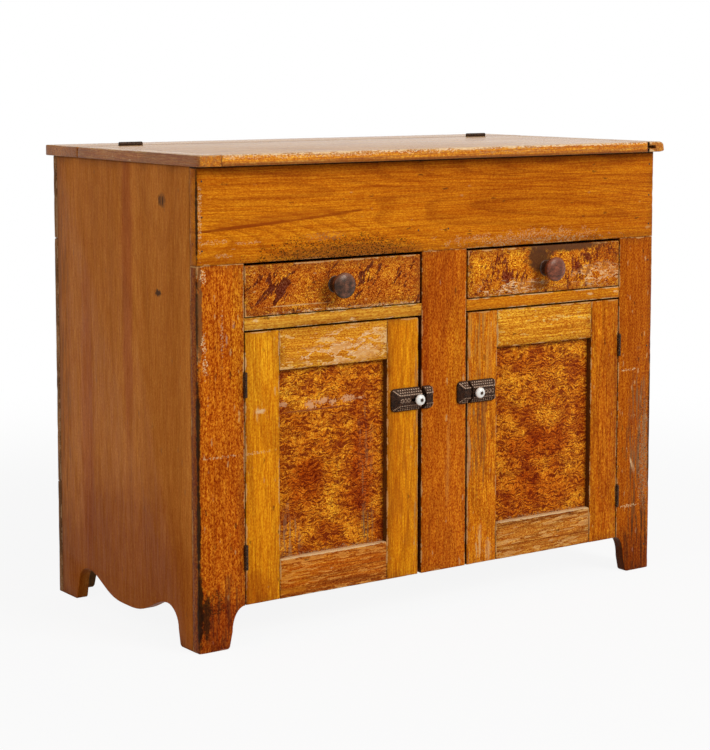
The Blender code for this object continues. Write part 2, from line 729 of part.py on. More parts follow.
def porcelain_profile() -> list:
    """The china knob's profile about its stem: a flattened ball on a short neck, with a bore."""
    bore = STEM_DIAMETER / 2 + FIT
    radius = PORCELAIN_DIAMETER / 2
    neck = PORCELAIN_NECK_DIAMETER / 2
    rise = PORCELAIN_LENGTH - PORCELAIN_WIDEST
    drop = PORCELAIN_WIDEST - PORCELAIN_NECK_LENGTH
    upper = arc((0, PORCELAIN_WIDEST), (radius, rise), PORCELAIN_FACE_ANGLE, 0, 7)
    lower = arc((neck, PORCELAIN_WIDEST), (radius - neck, drop), 0, -90, 5)[1:]
    return [(bore, upper[0][1])] + upper + lower + [(neck, 0), (bore, 0), (bore, upper[0][1])]


def make_latch(side: str, outward: int, door_edge: float, keeper_edge: float, door_carrier) -> None:
    """A sliding cupboard latch on a door and its keeper on the centre stile.

    outward is the direction in X from the door to its keeper.
    """
    front = FRONT - FIT
    level = DOOR_TOP - LATCH_BELOW_DOOR_TOP
    case_end = door_edge - outward * LATCH_SETBACK
    case_start = case_end - outward * LATCH_WIDTH
    channel = BOLT_HEIGHT / 2 + FIT
    bolt_back, bolt_front = bolt_span()
    stem_x = case_end - outward * STEM_SETBACK

    body = latch_section(f"{side}_latch_case", LATCH_WIDTH)
    body.location = ((case_start + case_end) / 2, front, level)
    hollow_start = case_start + outward * LATCH_WALL
    hollow_end = case_end + outward * LATCH_WALL
    hollow = box_helper(
        f"{side}_latch_hollow",
        (min(hollow_start, hollow_end), front - bolt_front - FIT, level - channel),
        (max(hollow_start, hollow_end), front + LATCH_WALL, level + channel),
    )
    slot_half = STEM_DIAMETER / 2 + FIT
    slot_ends = (stem_x + outward * slot_half, stem_x - outward * (LATCH_TRAVEL + slot_half))
    slot = box_helper(
        f"{side}_latch_slot",
        (min(slot_ends), front - LATCH_DEPTH - LATCH_WALL, level - slot_half),
        (max(slot_ends), front - LATCH_WALL, level + slot_half),
    )
    case_mesh = fused_mesh(f"{side}_latch_case", [body], [hollow, slot])
    part(f"{side}_latch_case", case_mesh, CAST_IRON, door_carrier)

    keeper_start = keeper_edge
    keeper_end = keeper_edge + outward * KEEPER_WIDTH
    keeper = latch_section(f"{side}_latch_keeper", KEEPER_WIDTH)
    keeper.location = ((keeper_start + keeper_end) / 2, front, level)
    pocket_ends = (keeper_start - outward * LATCH_WALL, keeper_start + outward * KEEPER_POCKET)
    pocket = box_helper(
        f"{side}_keeper_pocket",
        (min(pocket_ends), front - bolt_front - FIT, level - channel),
        (max(pocket_ends), front - bolt_back + FIT, level + channel),
    )
    part(f"{side}_latch_keeper", fused_mesh(f"{side}_latch_keeper", [keeper], [pocket]), CAST_IRON)

    carrier = joint_empty(f"{side}_latch_slide", Vector((stem_x, FRONT, level)), door_carrier)
    tip = keeper_start - outward * BOLT_SHORT_OF_KEEPER
    tail = stem_x - outward * BOLT_TAIL
    bar = box_helper(
        f"{side}_latch_bar",
        (min(tip, tail), front - bolt_front, level - BOLT_HEIGHT / 2),
        (max(tip, tail), front - bolt_back, level + BOLT_HEIGHT / 2),
    )
    stem_front = LATCH_DEPTH + FIT + PORCELAIN_LENGTH
    stem_length = stem_front - bolt_back - BOLT_DEPTH / 2
    stem = rod_helper(
        f"{side}_latch_stem",
        (stem_x, front - stem_front + stem_length / 2, level),
        STEM_DIAMETER / 2,
        stem_length,
        along_y=True,
    )
    part(f"{side}_latch_bolt", fused_mesh(f"{side}_latch_bolt", [bar, stem], []), CAST_IRON, carrier)
    china = part(f"{side}_latch_knob", turned_mesh(f"{side}_latch_knob", porcelain_profile()), PORCELAIN)
    china.rotation_euler = (math.pi / 2, 0, 0)
    china.location = (stem_x, front - LATCH_DEPTH - FIT, level)
    hang(china, carrier)


def make_doors(stiles: dict) -> None:
    """Both doors with their hinges, latches and keepers."""
    meshes = tuple(leaf_mesh(f"door_leaf_{i}", DOOR_HINGE, DOOR_HINGE_GAP, i == 1) for i in (0, 1))
    gap_middle = DOOR_HINGE_GAP / 2
    heights = {
        "lower": BASE_CLEARANCE + DOOR_LOWER_HINGE_INSET,
        "upper": DOOR_TOP - DOOR_UPPER_HINGE_INSET,
    }
    doors = (
        ("left", LEFT_OPENING_START + DOOR_HINGE_GAP, LEFT_OPENING_END - LEFT_DOOR_FREE_GAP, True),
        ("right", RIGHT_OPENING_START + RIGHT_DOOR_FREE_GAP, RIGHT_OPENING_END - DOOR_HINGE_GAP, False),
    )
    for side, start, end, hinge_on_left in doors:
        axis_x = start - gap_middle if hinge_on_left else end + gap_middle
        carrier = joint_empty(f"{side}_door_hinge_line", Vector((axis_x, DOOR_AXIS_Y, BASE_CLEARANCE)))
        members = door_members(side, start, end, hinge_on_left, carrier)
        turn = Matrix.Identity(4) if hinge_on_left else Matrix.Rotation(math.pi, 4, "Y")
        for place, height in heights.items():
            matrix = Matrix.Translation((axis_x, DOOR_AXIS_Y, height)) @ turn
            woods = (stiles[side], members["hinge_stile"])
            name = f"{side}_door_{place}_hinge"
            make_hinge(name, DOOR_HINGE, DOOR_HINGE_GAP, matrix, meshes, woods, carrier)
        free_edge = end if hinge_on_left else start
        keeper_edge = LEFT_OPENING_END if hinge_on_left else RIGHT_OPENING_START
        make_latch(side, 1 if hinge_on_left else -1, free_edge, keeper_edge, carrier)


def knob_profile() -> list:
    """A turned drawer knob with its peg, from the middle of its face down to the peg's end."""
    radius = KNOB_DIAMETER / 2
    neck = KNOB_NECK_DIAMETER / 2
    rim = KNOB_PROJECTION - KNOB_FACE_RISE
    throat = rim - KNOB_UNDERCUT
    points = arc((0, rim), (radius, KNOB_FACE_RISE), 90, 0, 8)
    points[0] = (0, KNOB_PROJECTION)
    points += arc((neck, rim), (radius - neck, KNOB_UNDERCUT), 0, -90, 6)[1:]
    base = KNOB_BASE_DIAMETER / 2
    points += arc((base, throat), (base - neck, throat - FIT), 180, 270, 4)[1:]
    peg = KNOB_PEG_DIAMETER / 2
    return points + [(peg, FIT), (peg, -DRAWER_FRONT_THICKNESS), (0, -DRAWER_FRONT_THICKNESS)]


def make_drawer(side: str, start: float, end: float) -> None:
    """A drawer: a front with lapped ends, two sides, a back, a bottom in grooves and a turned knob."""
    low = DRAWER_SILL + FIT
    top = DRAWER_HEAD - DRAWER_TOP_GAP
    side_top = top - DRAWER_SIDE_DROP
    front_back = FRONT + DRAWER_FRONT_THICKNESS
    rear = FRONT + DRAWER_LENGTH
    middle_x = (start + end) / 2
    middle_z = (DRAWER_SILL + DRAWER_HEAD) / 2
    carrier = joint_empty(f"{side}_drawer_slide", Vector((middle_x, FRONT, DRAWER_SILL)))

    front_low = (start, FRONT, DRAWER_SILL + DRAWER_BOTTOM_GAP)
    front = board(f"{side}_drawer_front", front_low, (end, front_back, top), GRAIN_PAINT, carrier)
    inner_start = start + DRAWER_BOARD_THICKNESS
    inner_end = end - DRAWER_BOARD_THICKNESS
    side_front = FRONT + DRAWER_LAP
    panels = {
        "left_side": (start, inner_start),
        "right_side": (inner_end, end),
    }
    bottom_low = DRAWER_SILL + DRAWER_BOTTOM_RISE
    bottom_high = bottom_low + DRAWER_BOTTOM_THICKNESS
    floor_low = (inner_start - DRAWER_GROOVE_DEPTH, front_back - DRAWER_GROOVE_DEPTH, bottom_low)
    floor_high = (inner_end + DRAWER_GROOVE_DEPTH, rear, bottom_high)
    board(f"{side}_drawer_bottom", floor_low, floor_high, BARE_WOOD, carrier, FIT)
    groove_low = tuple(corner - FIT for corner in floor_low)
    groove_high = (floor_high[0] + FIT, rear + DRAWER_GROOVE_DEPTH, bottom_high + FIT)
    for which, (left, right) in panels.items():
        side_low = (left, side_front + FIT, low)
        made = board(f"{side}_drawer_{which}", side_low, (right, rear, side_top), BARE_WOOD, carrier)
        cut_box(made, "groove", groove_low, groove_high)
        rabbet_low = (left - FIT, side_front, DRAWER_SILL)
        rabbet_high = (right + FIT, front_back + DRAWER_LAP, DRAWER_HEAD)
        cut_box(front, f"{which}_rabbet", rabbet_low, rabbet_high)
    cut_box(front, "groove", groove_low, groove_high)
    board(
        f"{side}_drawer_back",
        (inner_start + FIT, rear - DRAWER_BOARD_THICKNESS, bottom_high + FIT),
        (inner_end - FIT, rear, side_top),
        BARE_WOOD,
        carrier,
    )
    hole = rod_helper(
        f"{side}_drawer_peg_hole",
        (middle_x, FRONT + DRAWER_FRONT_THICKNESS / 2, middle_z),
        KNOB_PEG_DIAMETER / 2 + FIT,
        DRAWER_FRONT_THICKNESS * 2,
        along_y=True,
    )
    boolean(front, hole, "DIFFERENCE")
    knob = part(f"{side}_drawer_knob", turned_mesh(f"{side}_drawer_knob", knob_profile()), DARK_KNOB)
    knob.rotation_euler = (math.pi / 2, 0, 0)
    knob.location = (middle_x, FRONT, middle_z)
    hang(knob, carrier)


def make_drawers() -> None:
    """Both drawers."""
    make_drawer("left", LEFT_OPENING_START + DRAWER_OUTER_GAP, LEFT_OPENING_END - DRAWER_INNER_GAP)
    make_drawer("right", RIGHT_OPENING_START + DRAWER_INNER_GAP, RIGHT_OPENING_END - DRAWER_OUTER_GAP)


def make_lid() -> None:
    """The fixed strip at the back, the lid with its two end cleats, and the hinges between them."""
    carrier = joint_empty("lid_hinge_line", Vector((0, LID_AXIS_Y, LID_AXIS_Z)))
    strip = board(
        "lid_back_strip",
        (LID_LEFT, STRIP_FRONT, LID_UNDERSIDE),
        (LID_RIGHT, LID_BACK, LID_TOP),
        LID_VARNISH,
        edge=LID_EDGE_ROUND,
    )
    board_left = LID_LEFT + LID_CLEAT_WIDTH
    board_right = LID_RIGHT - LID_CLEAT_WIDTH
    lid = board(
        "lid_board",
        (board_left + FIT, LID_FRONT, LID_UNDERSIDE),
        (board_right - FIT, LID_REAR_EDGE, LID_TOP),
        LID_VARNISH,
        carrier,
    )
    middle = (LID_UNDERSIDE + LID_TOP) / 2
    half = LID_TONGUE_THICKNESS / 2
    cleats = (
        ("lid_left_cleat", LID_LEFT, board_left, -1, LID_TONGUE_SETBACK),
        ("lid_right_cleat", board_right, LID_RIGHT, 1, LID_RIGHT_TONGUE_SETBACK),
    )
    for name, start, end, outward, setback in cleats:
        cleat_low = (start, LID_FRONT, LID_UNDERSIDE)
        cleat_high = (end, LID_REAR_EDGE, LID_TOP)
        cleat = board(name, cleat_low, cleat_high, LID_VARNISH, carrier, LID_EDGE_ROUND)
        edge = end if outward < 0 else start
        reach = edge + outward * LID_TONGUE_LENGTH
        root = edge - outward * LID_TONGUE_LENGTH
        low_x = min(reach, root)
        high_x = max(reach, root)
        tongue_low = (low_x, LID_FRONT + setback, middle - half)
        tongue_high = (high_x, LID_REAR_EDGE - LID_TONGUE_SETBACK, middle + half)
        join_box(lid, f"{name}_tongue", tongue_low, tongue_high)
        groove_low = (low_x - FIT, LID_FRONT - LID_TONGUE_SETBACK, middle - half - FIT)
        groove_high = (high_x + FIT, LID_REAR_EDGE + LID_TONGUE_SETBACK, middle + half + FIT)
        cut_box(cleat, "groove", groove_low, groove_high)
    meshes = tuple(leaf_mesh(f"lid_leaf_{i}", LID_HINGE, LID_JOINT_GAP, i == 1) for i in (0, 1))
    # The pin lies along X, the leaves hang down from it and the moving leaf faces the front.
    turn = Matrix(((0, 0, 1, 0), (-1, 0, 0, 0), (0, -1, 0, 0), (0, 0, 0, 1)))
    for side, x in (("left", LEFT + LID_LEFT_HINGE_INSET), ("right", RIGHT - LID_RIGHT_HINGE_INSET)):
        matrix = Matrix.Translation((x, LID_AXIS_Y, LID_AXIS_Z)) @ turn
        make_hinge(f"lid_{side}_hinge", LID_HINGE, LID_JOINT_GAP, matrix, meshes, (strip, lid), carrier)


def main() -> None:
    """Builds the whole cupboard."""
    make_sides()
    make_shelves()
    make_back()
    stiles = make_face_frame()
    make_doors(stiles)
    make_drawers()
    make_lid()


main()
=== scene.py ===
"""Dresses the lift-top cupboard: worn varnished boards, grain painting, cast latches and turned knobs.

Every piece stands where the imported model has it, in metres, with +Z up and the front at -Y.
"""

import json
import logging
import math
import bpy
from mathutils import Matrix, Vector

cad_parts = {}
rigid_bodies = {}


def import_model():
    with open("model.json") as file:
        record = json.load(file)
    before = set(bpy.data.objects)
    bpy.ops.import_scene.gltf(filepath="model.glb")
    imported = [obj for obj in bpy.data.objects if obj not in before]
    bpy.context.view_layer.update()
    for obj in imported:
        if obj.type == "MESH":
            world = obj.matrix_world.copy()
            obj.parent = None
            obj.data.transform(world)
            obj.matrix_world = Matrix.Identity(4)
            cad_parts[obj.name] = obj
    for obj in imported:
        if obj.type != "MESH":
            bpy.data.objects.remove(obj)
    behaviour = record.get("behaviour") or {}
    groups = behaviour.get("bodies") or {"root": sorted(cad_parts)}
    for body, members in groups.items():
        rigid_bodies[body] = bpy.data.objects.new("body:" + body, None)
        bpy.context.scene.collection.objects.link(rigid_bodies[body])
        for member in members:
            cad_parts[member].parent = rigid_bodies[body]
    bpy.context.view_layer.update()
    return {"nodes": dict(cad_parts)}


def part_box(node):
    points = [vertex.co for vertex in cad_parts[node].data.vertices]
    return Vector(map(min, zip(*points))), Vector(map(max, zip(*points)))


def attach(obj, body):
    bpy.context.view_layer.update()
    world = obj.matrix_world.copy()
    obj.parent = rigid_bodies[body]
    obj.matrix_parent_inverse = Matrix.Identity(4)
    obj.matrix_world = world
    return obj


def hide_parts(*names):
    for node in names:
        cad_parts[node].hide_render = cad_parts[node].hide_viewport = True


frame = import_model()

import zlib
from dataclasses import dataclass, replace
from enum import Enum
from functools import partial
from typing import Optional, Sequence, Union

import bmesh
import bpy
from mathutils import Matrix, Vector, noise

LOG = logging.getLogger("cupboard")

Colour = tuple[float, float, float]
Point = tuple[float, float, float]
Pair = tuple[float, float]
Box = tuple[Point, Point]
Heading = tuple[Point, Point]
Edge = tuple[tuple[int, bool], ...]
Mesh = bpy.types.Mesh
Piece = bpy.types.Object
Material = bpy.types.Material
Tree = bpy.types.NodeTree
Shape = bmesh.types.BMesh
Socket = bpy.types.NodeSocket
Sockets = bpy.types.bpy_prop_collection
Value = Union[float, str, Sequence[float], Socket]

FRONT = -0.25525
FACE_BACK = -0.23325
FIT = 0.0003
MARK_FACE = -0.255
SCREW_RADIUS = 0.0024
SMALL_FACE = 0.0005
TINY = 1e-6
NOISE_COLOUR = 1
NOWHERE: Point = (0.0, 0.0, 0.0)
MIDDLE: Point = (0.5, 0.5, 0.5)
SEED_DRIFT: Point = (13.7, 7.3, 19.1)
MARK_SEED = 0.37
EASED_VARIANCE = 0.35
DYED: Point = (0.8, 1.6, 2.4)
NEUTRAL: Point = (1.0, 1.0, 1.0)
WARM_GLOSS: Colour = (1.0, 0.55, 0.15)
IRON_GLOSS: Colour = (1.0, 0.92, 0.84)
KNOB_GLOSS: Colour = (1.0, 0.84, 0.70)
# Colour of the painted shadow at the knobs' necks.
NECK_SHADOW: Colour = (0.020, 0.009, 0.005)
BARE_LIGHT: Colour = (0.50, 0.295, 0.130)
BARE_DARK: Colour = (0.37, 0.195, 0.078)
BARE_RING: Colour = (0.25, 0.130, 0.052)
FLAKE_RIM: Colour = (0.86, 0.60, 0.34)


class Grain(Enum):
    """The direction of a board's grain, as how fast its pattern changes along X, Y and Z."""

    ALONG_X = (0.014, 1.0, 1.0)
    ALONG_Y = (1.0, 0.045, 1.0)
    ALONG_Z = (0.72, 0.72, 0.045)


class MarkKind(Enum):
    """What fills the place of a mark on a finish."""

    STAIN = "stain"
    SPECKLED = "speckled"
    FLAKED = "flaked"
    STREAKED = "streaked"
    TINT = "tint"


class Side(Enum):
    """A door, drawer or latch on the left or on the right, as its direction in X."""

    LEFT = -1
    RIGHT = 1

    @property
    def word(self) -> str:
        """Returns: the side's name as the nodes spell it."""
        return self.name.lower()


class Graph:
    """Adds and links the nodes of one node tree."""

    def __init__(self, tree: Tree) -> None:
        """Takes the tree that the nodes go into."""
        self.tree = tree

    def feed(self, socket: Socket, value: Value) -> None:
        """Links a socket, or sets it to a constant.

        Args:
            socket: the input.
            value: an output to link, or a number, vector, colour or name.
        """
        if isinstance(value, Socket):
            self.tree.links.new(value, socket)
        elif socket.type == "RGBA" and len(value) == 3:
            socket.default_value = (*value, 1.0)
        else:
            socket.default_value = value

    def place(self, kind: str, inputs: dict[Union[int, str], Value], **settings: object) -> Sockets:
        """Adds a node and feeds it.

        Args:
            kind: the node's type name.
            inputs: what to link or set, by the input's number or name.
            settings: properties to set on the node.

        Returns:
            The node's outputs.
        """
        node = self.tree.nodes.new(kind)
        for key, value in settings.items():
            setattr(node, key, value)
        for key, value in inputs.items():
            self.feed(node.inputs[key], value)
        return node.outputs

    def math(self, operation: str, first: Value, second: Value = 0.0) -> Socket:
        """Returns: the result of a Math node on two values."""
        return self.place("ShaderNodeMath", {0: first, 1: second}, operation=operation)[0]

    def times(self, first: Value, second: Value) -> Socket:
        """Returns: the product of two values."""
        return self.math("MULTIPLY", first, second)

    def plus(self, first: Value, second: Value) -> Socket:
        """Returns: the sum of two values."""
        return self.math("ADD", first, second)

    def minus(self, first: Value, second: Value) -> Socket:
        """Returns: the difference of two values."""
        return self.math("SUBTRACT", first, second)

    def vector(self, operation: str, first: Value, second: Value) -> Socket:
        """Returns: the vector that a Vector Math node makes of two vectors."""
        return self.place("ShaderNodeVectorMath", {0: first, 1: second}, operation=operation)["Vector"]

    def stretched(self, vector: Value, factors: Value) -> Socket:
        """Returns: a vector with each axis times its own factor."""
        return self.vector("MULTIPLY", vector, factors)

    def scaled(self, vector: Value, factor: Value) -> Socket:
        """Returns: a vector times a number."""
        return self.place("ShaderNodeVectorMath", {0: vector, "Scale": factor}, operation="SCALE")["Vector"]

    def length(self, vector: Value) -> Socket:
        """Returns: the length of a vector."""
        return self.place("ShaderNodeVectorMath", {0: vector}, operation="LENGTH")["Value"]

    def turned(self, vector: Value, angle: Value) -> Socket:
        """Returns: a vector turned about Y."""
        inputs = {"Vector": vector, "Angle": angle}
        return self.place("ShaderNodeVectorRotate", inputs, rotation_type="Y_AXIS")[0]

    def split(self, vector: Value) -> Sockets:
        """Returns: the three parts of a vector."""
        return self.place("ShaderNodeSeparateXYZ", {0: vector})

    def mix(self, factor: Value, first: Value, second: Value, blend: str = "MIX") -> Socket:
        """Returns: two colours mixed by a factor."""
        inputs = {0: factor, 6: first, 7: second}
        return self.place("ShaderNodeMix", inputs, data_type="RGBA", blend_type=blend)[2]

    def spread(self, value: Value, start: Value, end: Value, low: float = 0.0, high: float = 1.0) -> Socket:
        """Returns: a value eased from low at start to high at end."""
        inputs = {"Value": value, "From Min": start, "From Max": end, "To Min": low, "To Max": high}
        return self.place("ShaderNodeMapRange", inputs, interpolation_type="SMOOTHSTEP")["Result"]

    def noise(
        self,
        vector: Value,
        scale: Value,
        detail: float = 3.0,
        rough: float = 0.55,
        warp: float = 0.0,
        output: int = 0,
    ) -> Socket:
        """Returns: the value of a Noise Texture, or another of its outputs."""
        inputs = {"Vector": vector, "Scale": scale, "Detail": detail, "Roughness": rough, "Distortion": warp}
        return self.place("ShaderNodeTexNoise", inputs)[output]

    def cells(self, vector: Value, scale: Value) -> Sockets:
        """Returns: the outputs of a Voronoi Texture."""
        return self.place("ShaderNodeTexVoronoi", {"Vector": vector, "Scale": scale})

    def group(self, tree: Tree, **values: Value) -> Sockets:
        """Returns: the outputs of a node group, whose inputs are named with underscores for spaces."""
        inputs = {name.replace("_", " "): value for name, value in values.items()}
        return self.place("ShaderNodeGroup", inputs, node_tree=tree)


class EffectGroup:
    """A shader node group under way, with named sockets."""

    def __init__(
        self, name: str, outputs: Sequence[str], vectors: Sequence[str] = (), floats: Sequence[str] = ()
    ) -> None:
        """Makes the group, with a position and a seed among its inputs.

        Args:
            name: the group's name.
            outputs: the names of its values.
            vectors: the names of its other vector inputs.
            floats: the names of its other number inputs.
        """
        self.tree = bpy.data.node_groups.new(name, "ShaderNodeTree")
        self.graph = Graph(self.tree)
        sockets = [(label, "INPUT", "NodeSocketVector") for label in ("Position", *vectors)]
        sockets += [(label, "INPUT", "NodeSocketFloat") for label in ("Seed", *floats)]
        sockets += [(label, "OUTPUT", "NodeSocketFloat") for label in outputs]
        for label, way, kind in sockets:
            self.tree.interface.new_socket(name=label, in_out=way, socket_type=kind)
        self.source = self.graph.place("NodeGroupInput", {})

    def shifted(self, stretch: Optional[Socket] = None) -> Socket:
        """Moves the position by the seed.

        Args:
            stretch: the grain's stretch, if the pattern follows it.

        Returns:
            The new position.
        """
        drift = self.graph.scaled(SEED_DRIFT, self.source["Seed"])
        moved = self.graph.vector("ADD", self.source["Position"], drift)
        return self.graph.stretched(moved, stretch) if stretch else moved

    def swirled(self, place: Socket, scale: Value, detail: float, reach: Value = 0.03) -> Socket:
        """Bends a position by a noise.

        Args:
            place: the position.
            scale: the noise's scale.
            detail: the noise's detail.
            reach: how far it bends, in metres.

        Returns:
            The new position.
        """
        swirl = self.graph.noise(place, scale, detail, output=NOISE_COLOUR)
        swirl = self.graph.vector("SUBTRACT", swirl, MIDDLE)
        return self.graph.vector("ADD", place, self.graph.scaled(swirl, reach))

    def give(self, **values: Value) -> Tree:
        """Feeds the group's outputs by their names and returns the group."""
        self.graph.place("NodeGroupOutput", values)
        return self.tree


class Effects:
    """The patterns that more than one finish uses, each built once as a node group."""

    def __init__(self) -> None:
        """Builds every group."""
        self.grain = self._grain()
        self.edge = self._edge()
        self.flakes = self._flakes()
        self.burl = self._burl()
        self.strokes = self._strokes()
        self.specks = self._specks()
        self.spot = self._spot()

    @staticmethod
    def _grain() -> Tree:
        """Makes the growth rings, broad tones, streaks, fibres, scuffs and grit of a plank.

        Returns:
            The group.
        """
        outputs = ("Tone", "Rings", "Streaks", "Fibres", "Scuffs", "Grit")
        made = EffectGroup("plank_grain", outputs, ("Stretch",), ("Ring Count",))
        graph, stretch = made.graph, made.source["Stretch"]
        place = made.shifted(stretch)
        bent, short, coarse = (
            made.shifted(graph.vector("MAXIMUM", stretch, (least, least, least)))
            for least in (0.13, 0.22, 0.42)
        )
        hills = graph.noise(bent, 4.5, 2.2, 0.4, 0.2)
        saw = graph.math("FRACT", graph.times(hills, made.source["Ring Count"]))
        return made.give(
            Tone=graph.noise(place, 13.0, 3.0, 0.6, 0.3),
            Rings=graph.times(graph.spread(saw, 0.45, 0.9), graph.spread(saw, 0.92, 1.0, 1.0, 0.0)),
            Streaks=graph.noise(place, 240.0, 2.0, 0.65),
            Fibres=graph.noise(place, 560.0, 2.0, 0.7),
            Scuffs=graph.noise(short, 260.0, 4.0, 0.75),
            Grit=graph.noise(coarse, 540.0, 2.0, 0.8),
        )

    @staticmethod
    def _edge() -> Tree:
        """Makes the wear along a board's edges, and a mask near them for grime and painted shade, from the
        corners of its box.

        Returns:
            The group.
        """
        made = EffectGroup("worn_edge", ("Worn", "Near", "Line"), ("Low", "High"), ("Width",))
        graph, source = made.graph, made.source
        below = graph.vector("SUBTRACT", source["Position"], source["Low"])
        above = graph.vector("SUBTRACT", source["High"], source["Position"])
        first, second, third = graph.split(graph.vector("MINIMUM", below, above))
        least = graph.math("MINIMUM", first, second)
        most = graph.math("MAXIMUM", first, second)
        distance = graph.math("MAXIMUM", least, graph.math("MINIMUM", most, third))
        place = made.shifted()
        patches = graph.spread(graph.noise(place, 26.0, 3.0, 0.6), 0.42, 0.66, 0.0, 1.5)
        ragged = graph.minus(graph.noise(place, 240.0, 4.0, 0.7), 0.5)
        reach = graph.times(source["Width"], patches)
        away = graph.plus(distance, graph.times(graph.times(ragged, source["Width"]), 2.6))
        return made.give(
            Worn=graph.spread(away, reach, graph.times(reach, 0.7)),
            Near=graph.spread(distance, 0.022, 0.0),
            Line=graph.spread(graph.plus(distance, graph.times(ragged, 0.004)), 0.004, 0.001),
        )

    @staticmethod
    def _flakes() -> Tree:
        """Makes patches where the varnish has lifted, with a lacy rim.

        Returns:
            The group.
        """
        made = EffectGroup("lifted_varnish", ("Flake", "Rim"), ("Stretch",), ("Scale", "Amount"))
        graph, scale = made.graph, made.source["Scale"]
        place = made.shifted(made.source["Stretch"])
        wide = graph.noise(place, graph.times(scale, 0.25), 2.0)
        lace = graph.noise(place, scale, 5.0, 0.6, 0.6)
        level = graph.plus(graph.times(wide, 0.55), graph.times(lace, 0.75))
        level = graph.plus(level, made.source["Amount"])
        return made.give(
            Flake=graph.spread(level, 0.985, 1.01),
            Rim=graph.times(graph.spread(level, 0.965, 0.985), graph.spread(level, 1.02, 0.995)),
        )

    @staticmethod
    def _burl() -> Tree:
        """Makes the clouds, dabs, curls and eyes of a burl as a painter imitates it.

        Returns:
            The group.
        """
        made = EffectGroup("painted_burl", ("Clouds", "Dabs", "Curls", "Eyes", "Fine"))
        graph = made.graph
        place = made.shifted()
        warped = made.swirled(place, 38.0, 2.0)
        clouds = graph.noise(graph.stretched(place, (0.9, 1.0, 1.0)), 20.0, 3.0, 0.55, 0.3)
        heavy = graph.times(graph.minus(clouds, 0.5), 0.36)
        flat = graph.stretched(warped, (0.42, 1.0, 1.0))
        dabs = graph.noise(flat, 120.0, 3.0, 0.6, 1.2)
        height = graph.split(warped)["Z"]
        broad_bend = graph.times(graph.noise(flat, 62.0, 4.0, 0.65), 19.0)
        thin_bend = graph.times(graph.noise(flat, 80.0, 4.0, 0.6, output=NOISE_COLOUR), 16.0)
        curls = []
        for bend, pitch, crest, gaps, gap in (
            (broad_bend, 730.0, (0.25, 0.6), 110.0, 0.45),
            (thin_bend, 1200.0, (0.3, 0.65), 150.0, 0.46),
        ):
            wave = graph.math("SINE", graph.plus(graph.times(height, pitch), bend))
            broken = graph.spread(graph.plus(graph.noise(flat, gaps, 3.0, 0.6), heavy), gap, 0.53)
            curls.append(graph.times(graph.spread(wave, *crest), broken))
        cells = graph.cells(warped, 125.0)
        size = graph.times(graph.math("POWER", cells["Color"], 2.0), 0.6)
        return made.give(
            Clouds=clouds,
            Dabs=graph.spread(graph.plus(dabs, heavy), 0.485, 0.545),
            Curls=graph.math("MAXIMUM", *curls),
            Eyes=graph.spread(cells["Distance"], size, graph.times(size, 0.45)),
            Fine=graph.noise(warped, 230.0, 4.0, 0.75),
        )

    @staticmethod
    def _strokes() -> Tree:
        """Makes leaning brush strokes with feathered ends.

        Returns:
            The group.
        """
        made = EffectGroup("feathered_strokes", ("Stroke",), (), ("Lean", "Amount", "Scale"))
        graph, source = made.graph, made.source
        leaning = graph.turned(made.swirled(made.shifted(), 16.0, 1.0), source["Lean"])
        patch = graph.noise(graph.stretched(leaning, (0.36, 1.0, 1.0)), source["Scale"], 2.0, 0.55)
        bristles = graph.noise(graph.stretched(leaning, (0.2, 1.0, 1.0)), 250.0, 3.0, 0.65)
        level = graph.plus(patch, graph.times(graph.minus(bristles, 0.5), 1.1))
        return made.give(Stroke=graph.spread(graph.plus(level, source["Amount"]), 0.555, 0.62))

    @staticmethod
    def _specks() -> Tree:
        """Makes scattered ragged specks of many sizes.

        Returns:
            The group.
        """
        made = EffectGroup("scattered_specks", ("Specks",), ("Stretch",), ("Scale", "Density"))
        graph, scale = made.graph, made.source["Scale"]
        push = graph.math("DIVIDE", 0.7, scale)
        place = made.swirled(made.shifted(made.source["Stretch"]), graph.times(scale, 3.0), 2.0, push)
        cells = graph.cells(place, scale)
        chance = graph.place("ShaderNodeSeparateColor", {0: cells["Color"]})
        chosen = graph.math("GREATER_THAN", made.source["Density"], chance[0])
        size = graph.plus(graph.times(chance[1], 0.3), 0.12)
        dot = graph.spread(cells["Distance"], size, graph.times(size, 0.5))
        return made.give(Specks=graph.times(chosen, dot))

    @staticmethod
    def _spot() -> Tree:
        """Makes one place on the object with a ragged outline.

        Returns:
            The group.
        """
        made = EffectGroup("ragged_spot", ("Spot",), ("Centre", "Radii"), ("Lean", "Ragged", "Scale"))
        graph, source = made.graph, made.source
        offset = graph.turned(graph.vector("SUBTRACT", source["Position"], source["Centre"]), source["Lean"])
        far = graph.length(graph.vector("DIVIDE", offset, source["Radii"]))
        rough = graph.noise(made.shifted(), source["Scale"], 4.0, 0.65)
        edge = graph.times(graph.minus(rough, 0.5), source["Ragged"])
        return made.give(Spot=graph.spread(graph.plus(far, edge), 1.0, 0.5))


EFFECTS = Effects()


@dataclass(frozen=True)
class Mark:
    """A stain, knot, worn place or painted shade at one point of a finish."""

    centre: Point
    radii: Point
    colour: Colour
    strength: float = 0.8
    kind: MarkKind = MarkKind.STAIN
    ragged: float = 1.5
    scale: float = 70.0
    lean: float = 0.0


@dataclass(frozen=True)
class Flame:
    """A place on a drawer where a painter's strokes gather, with the way that it leans."""

    x: float
    z: float
    wide: float
    tall: float
    lean: float = 0.0
    weight: float = 0.3


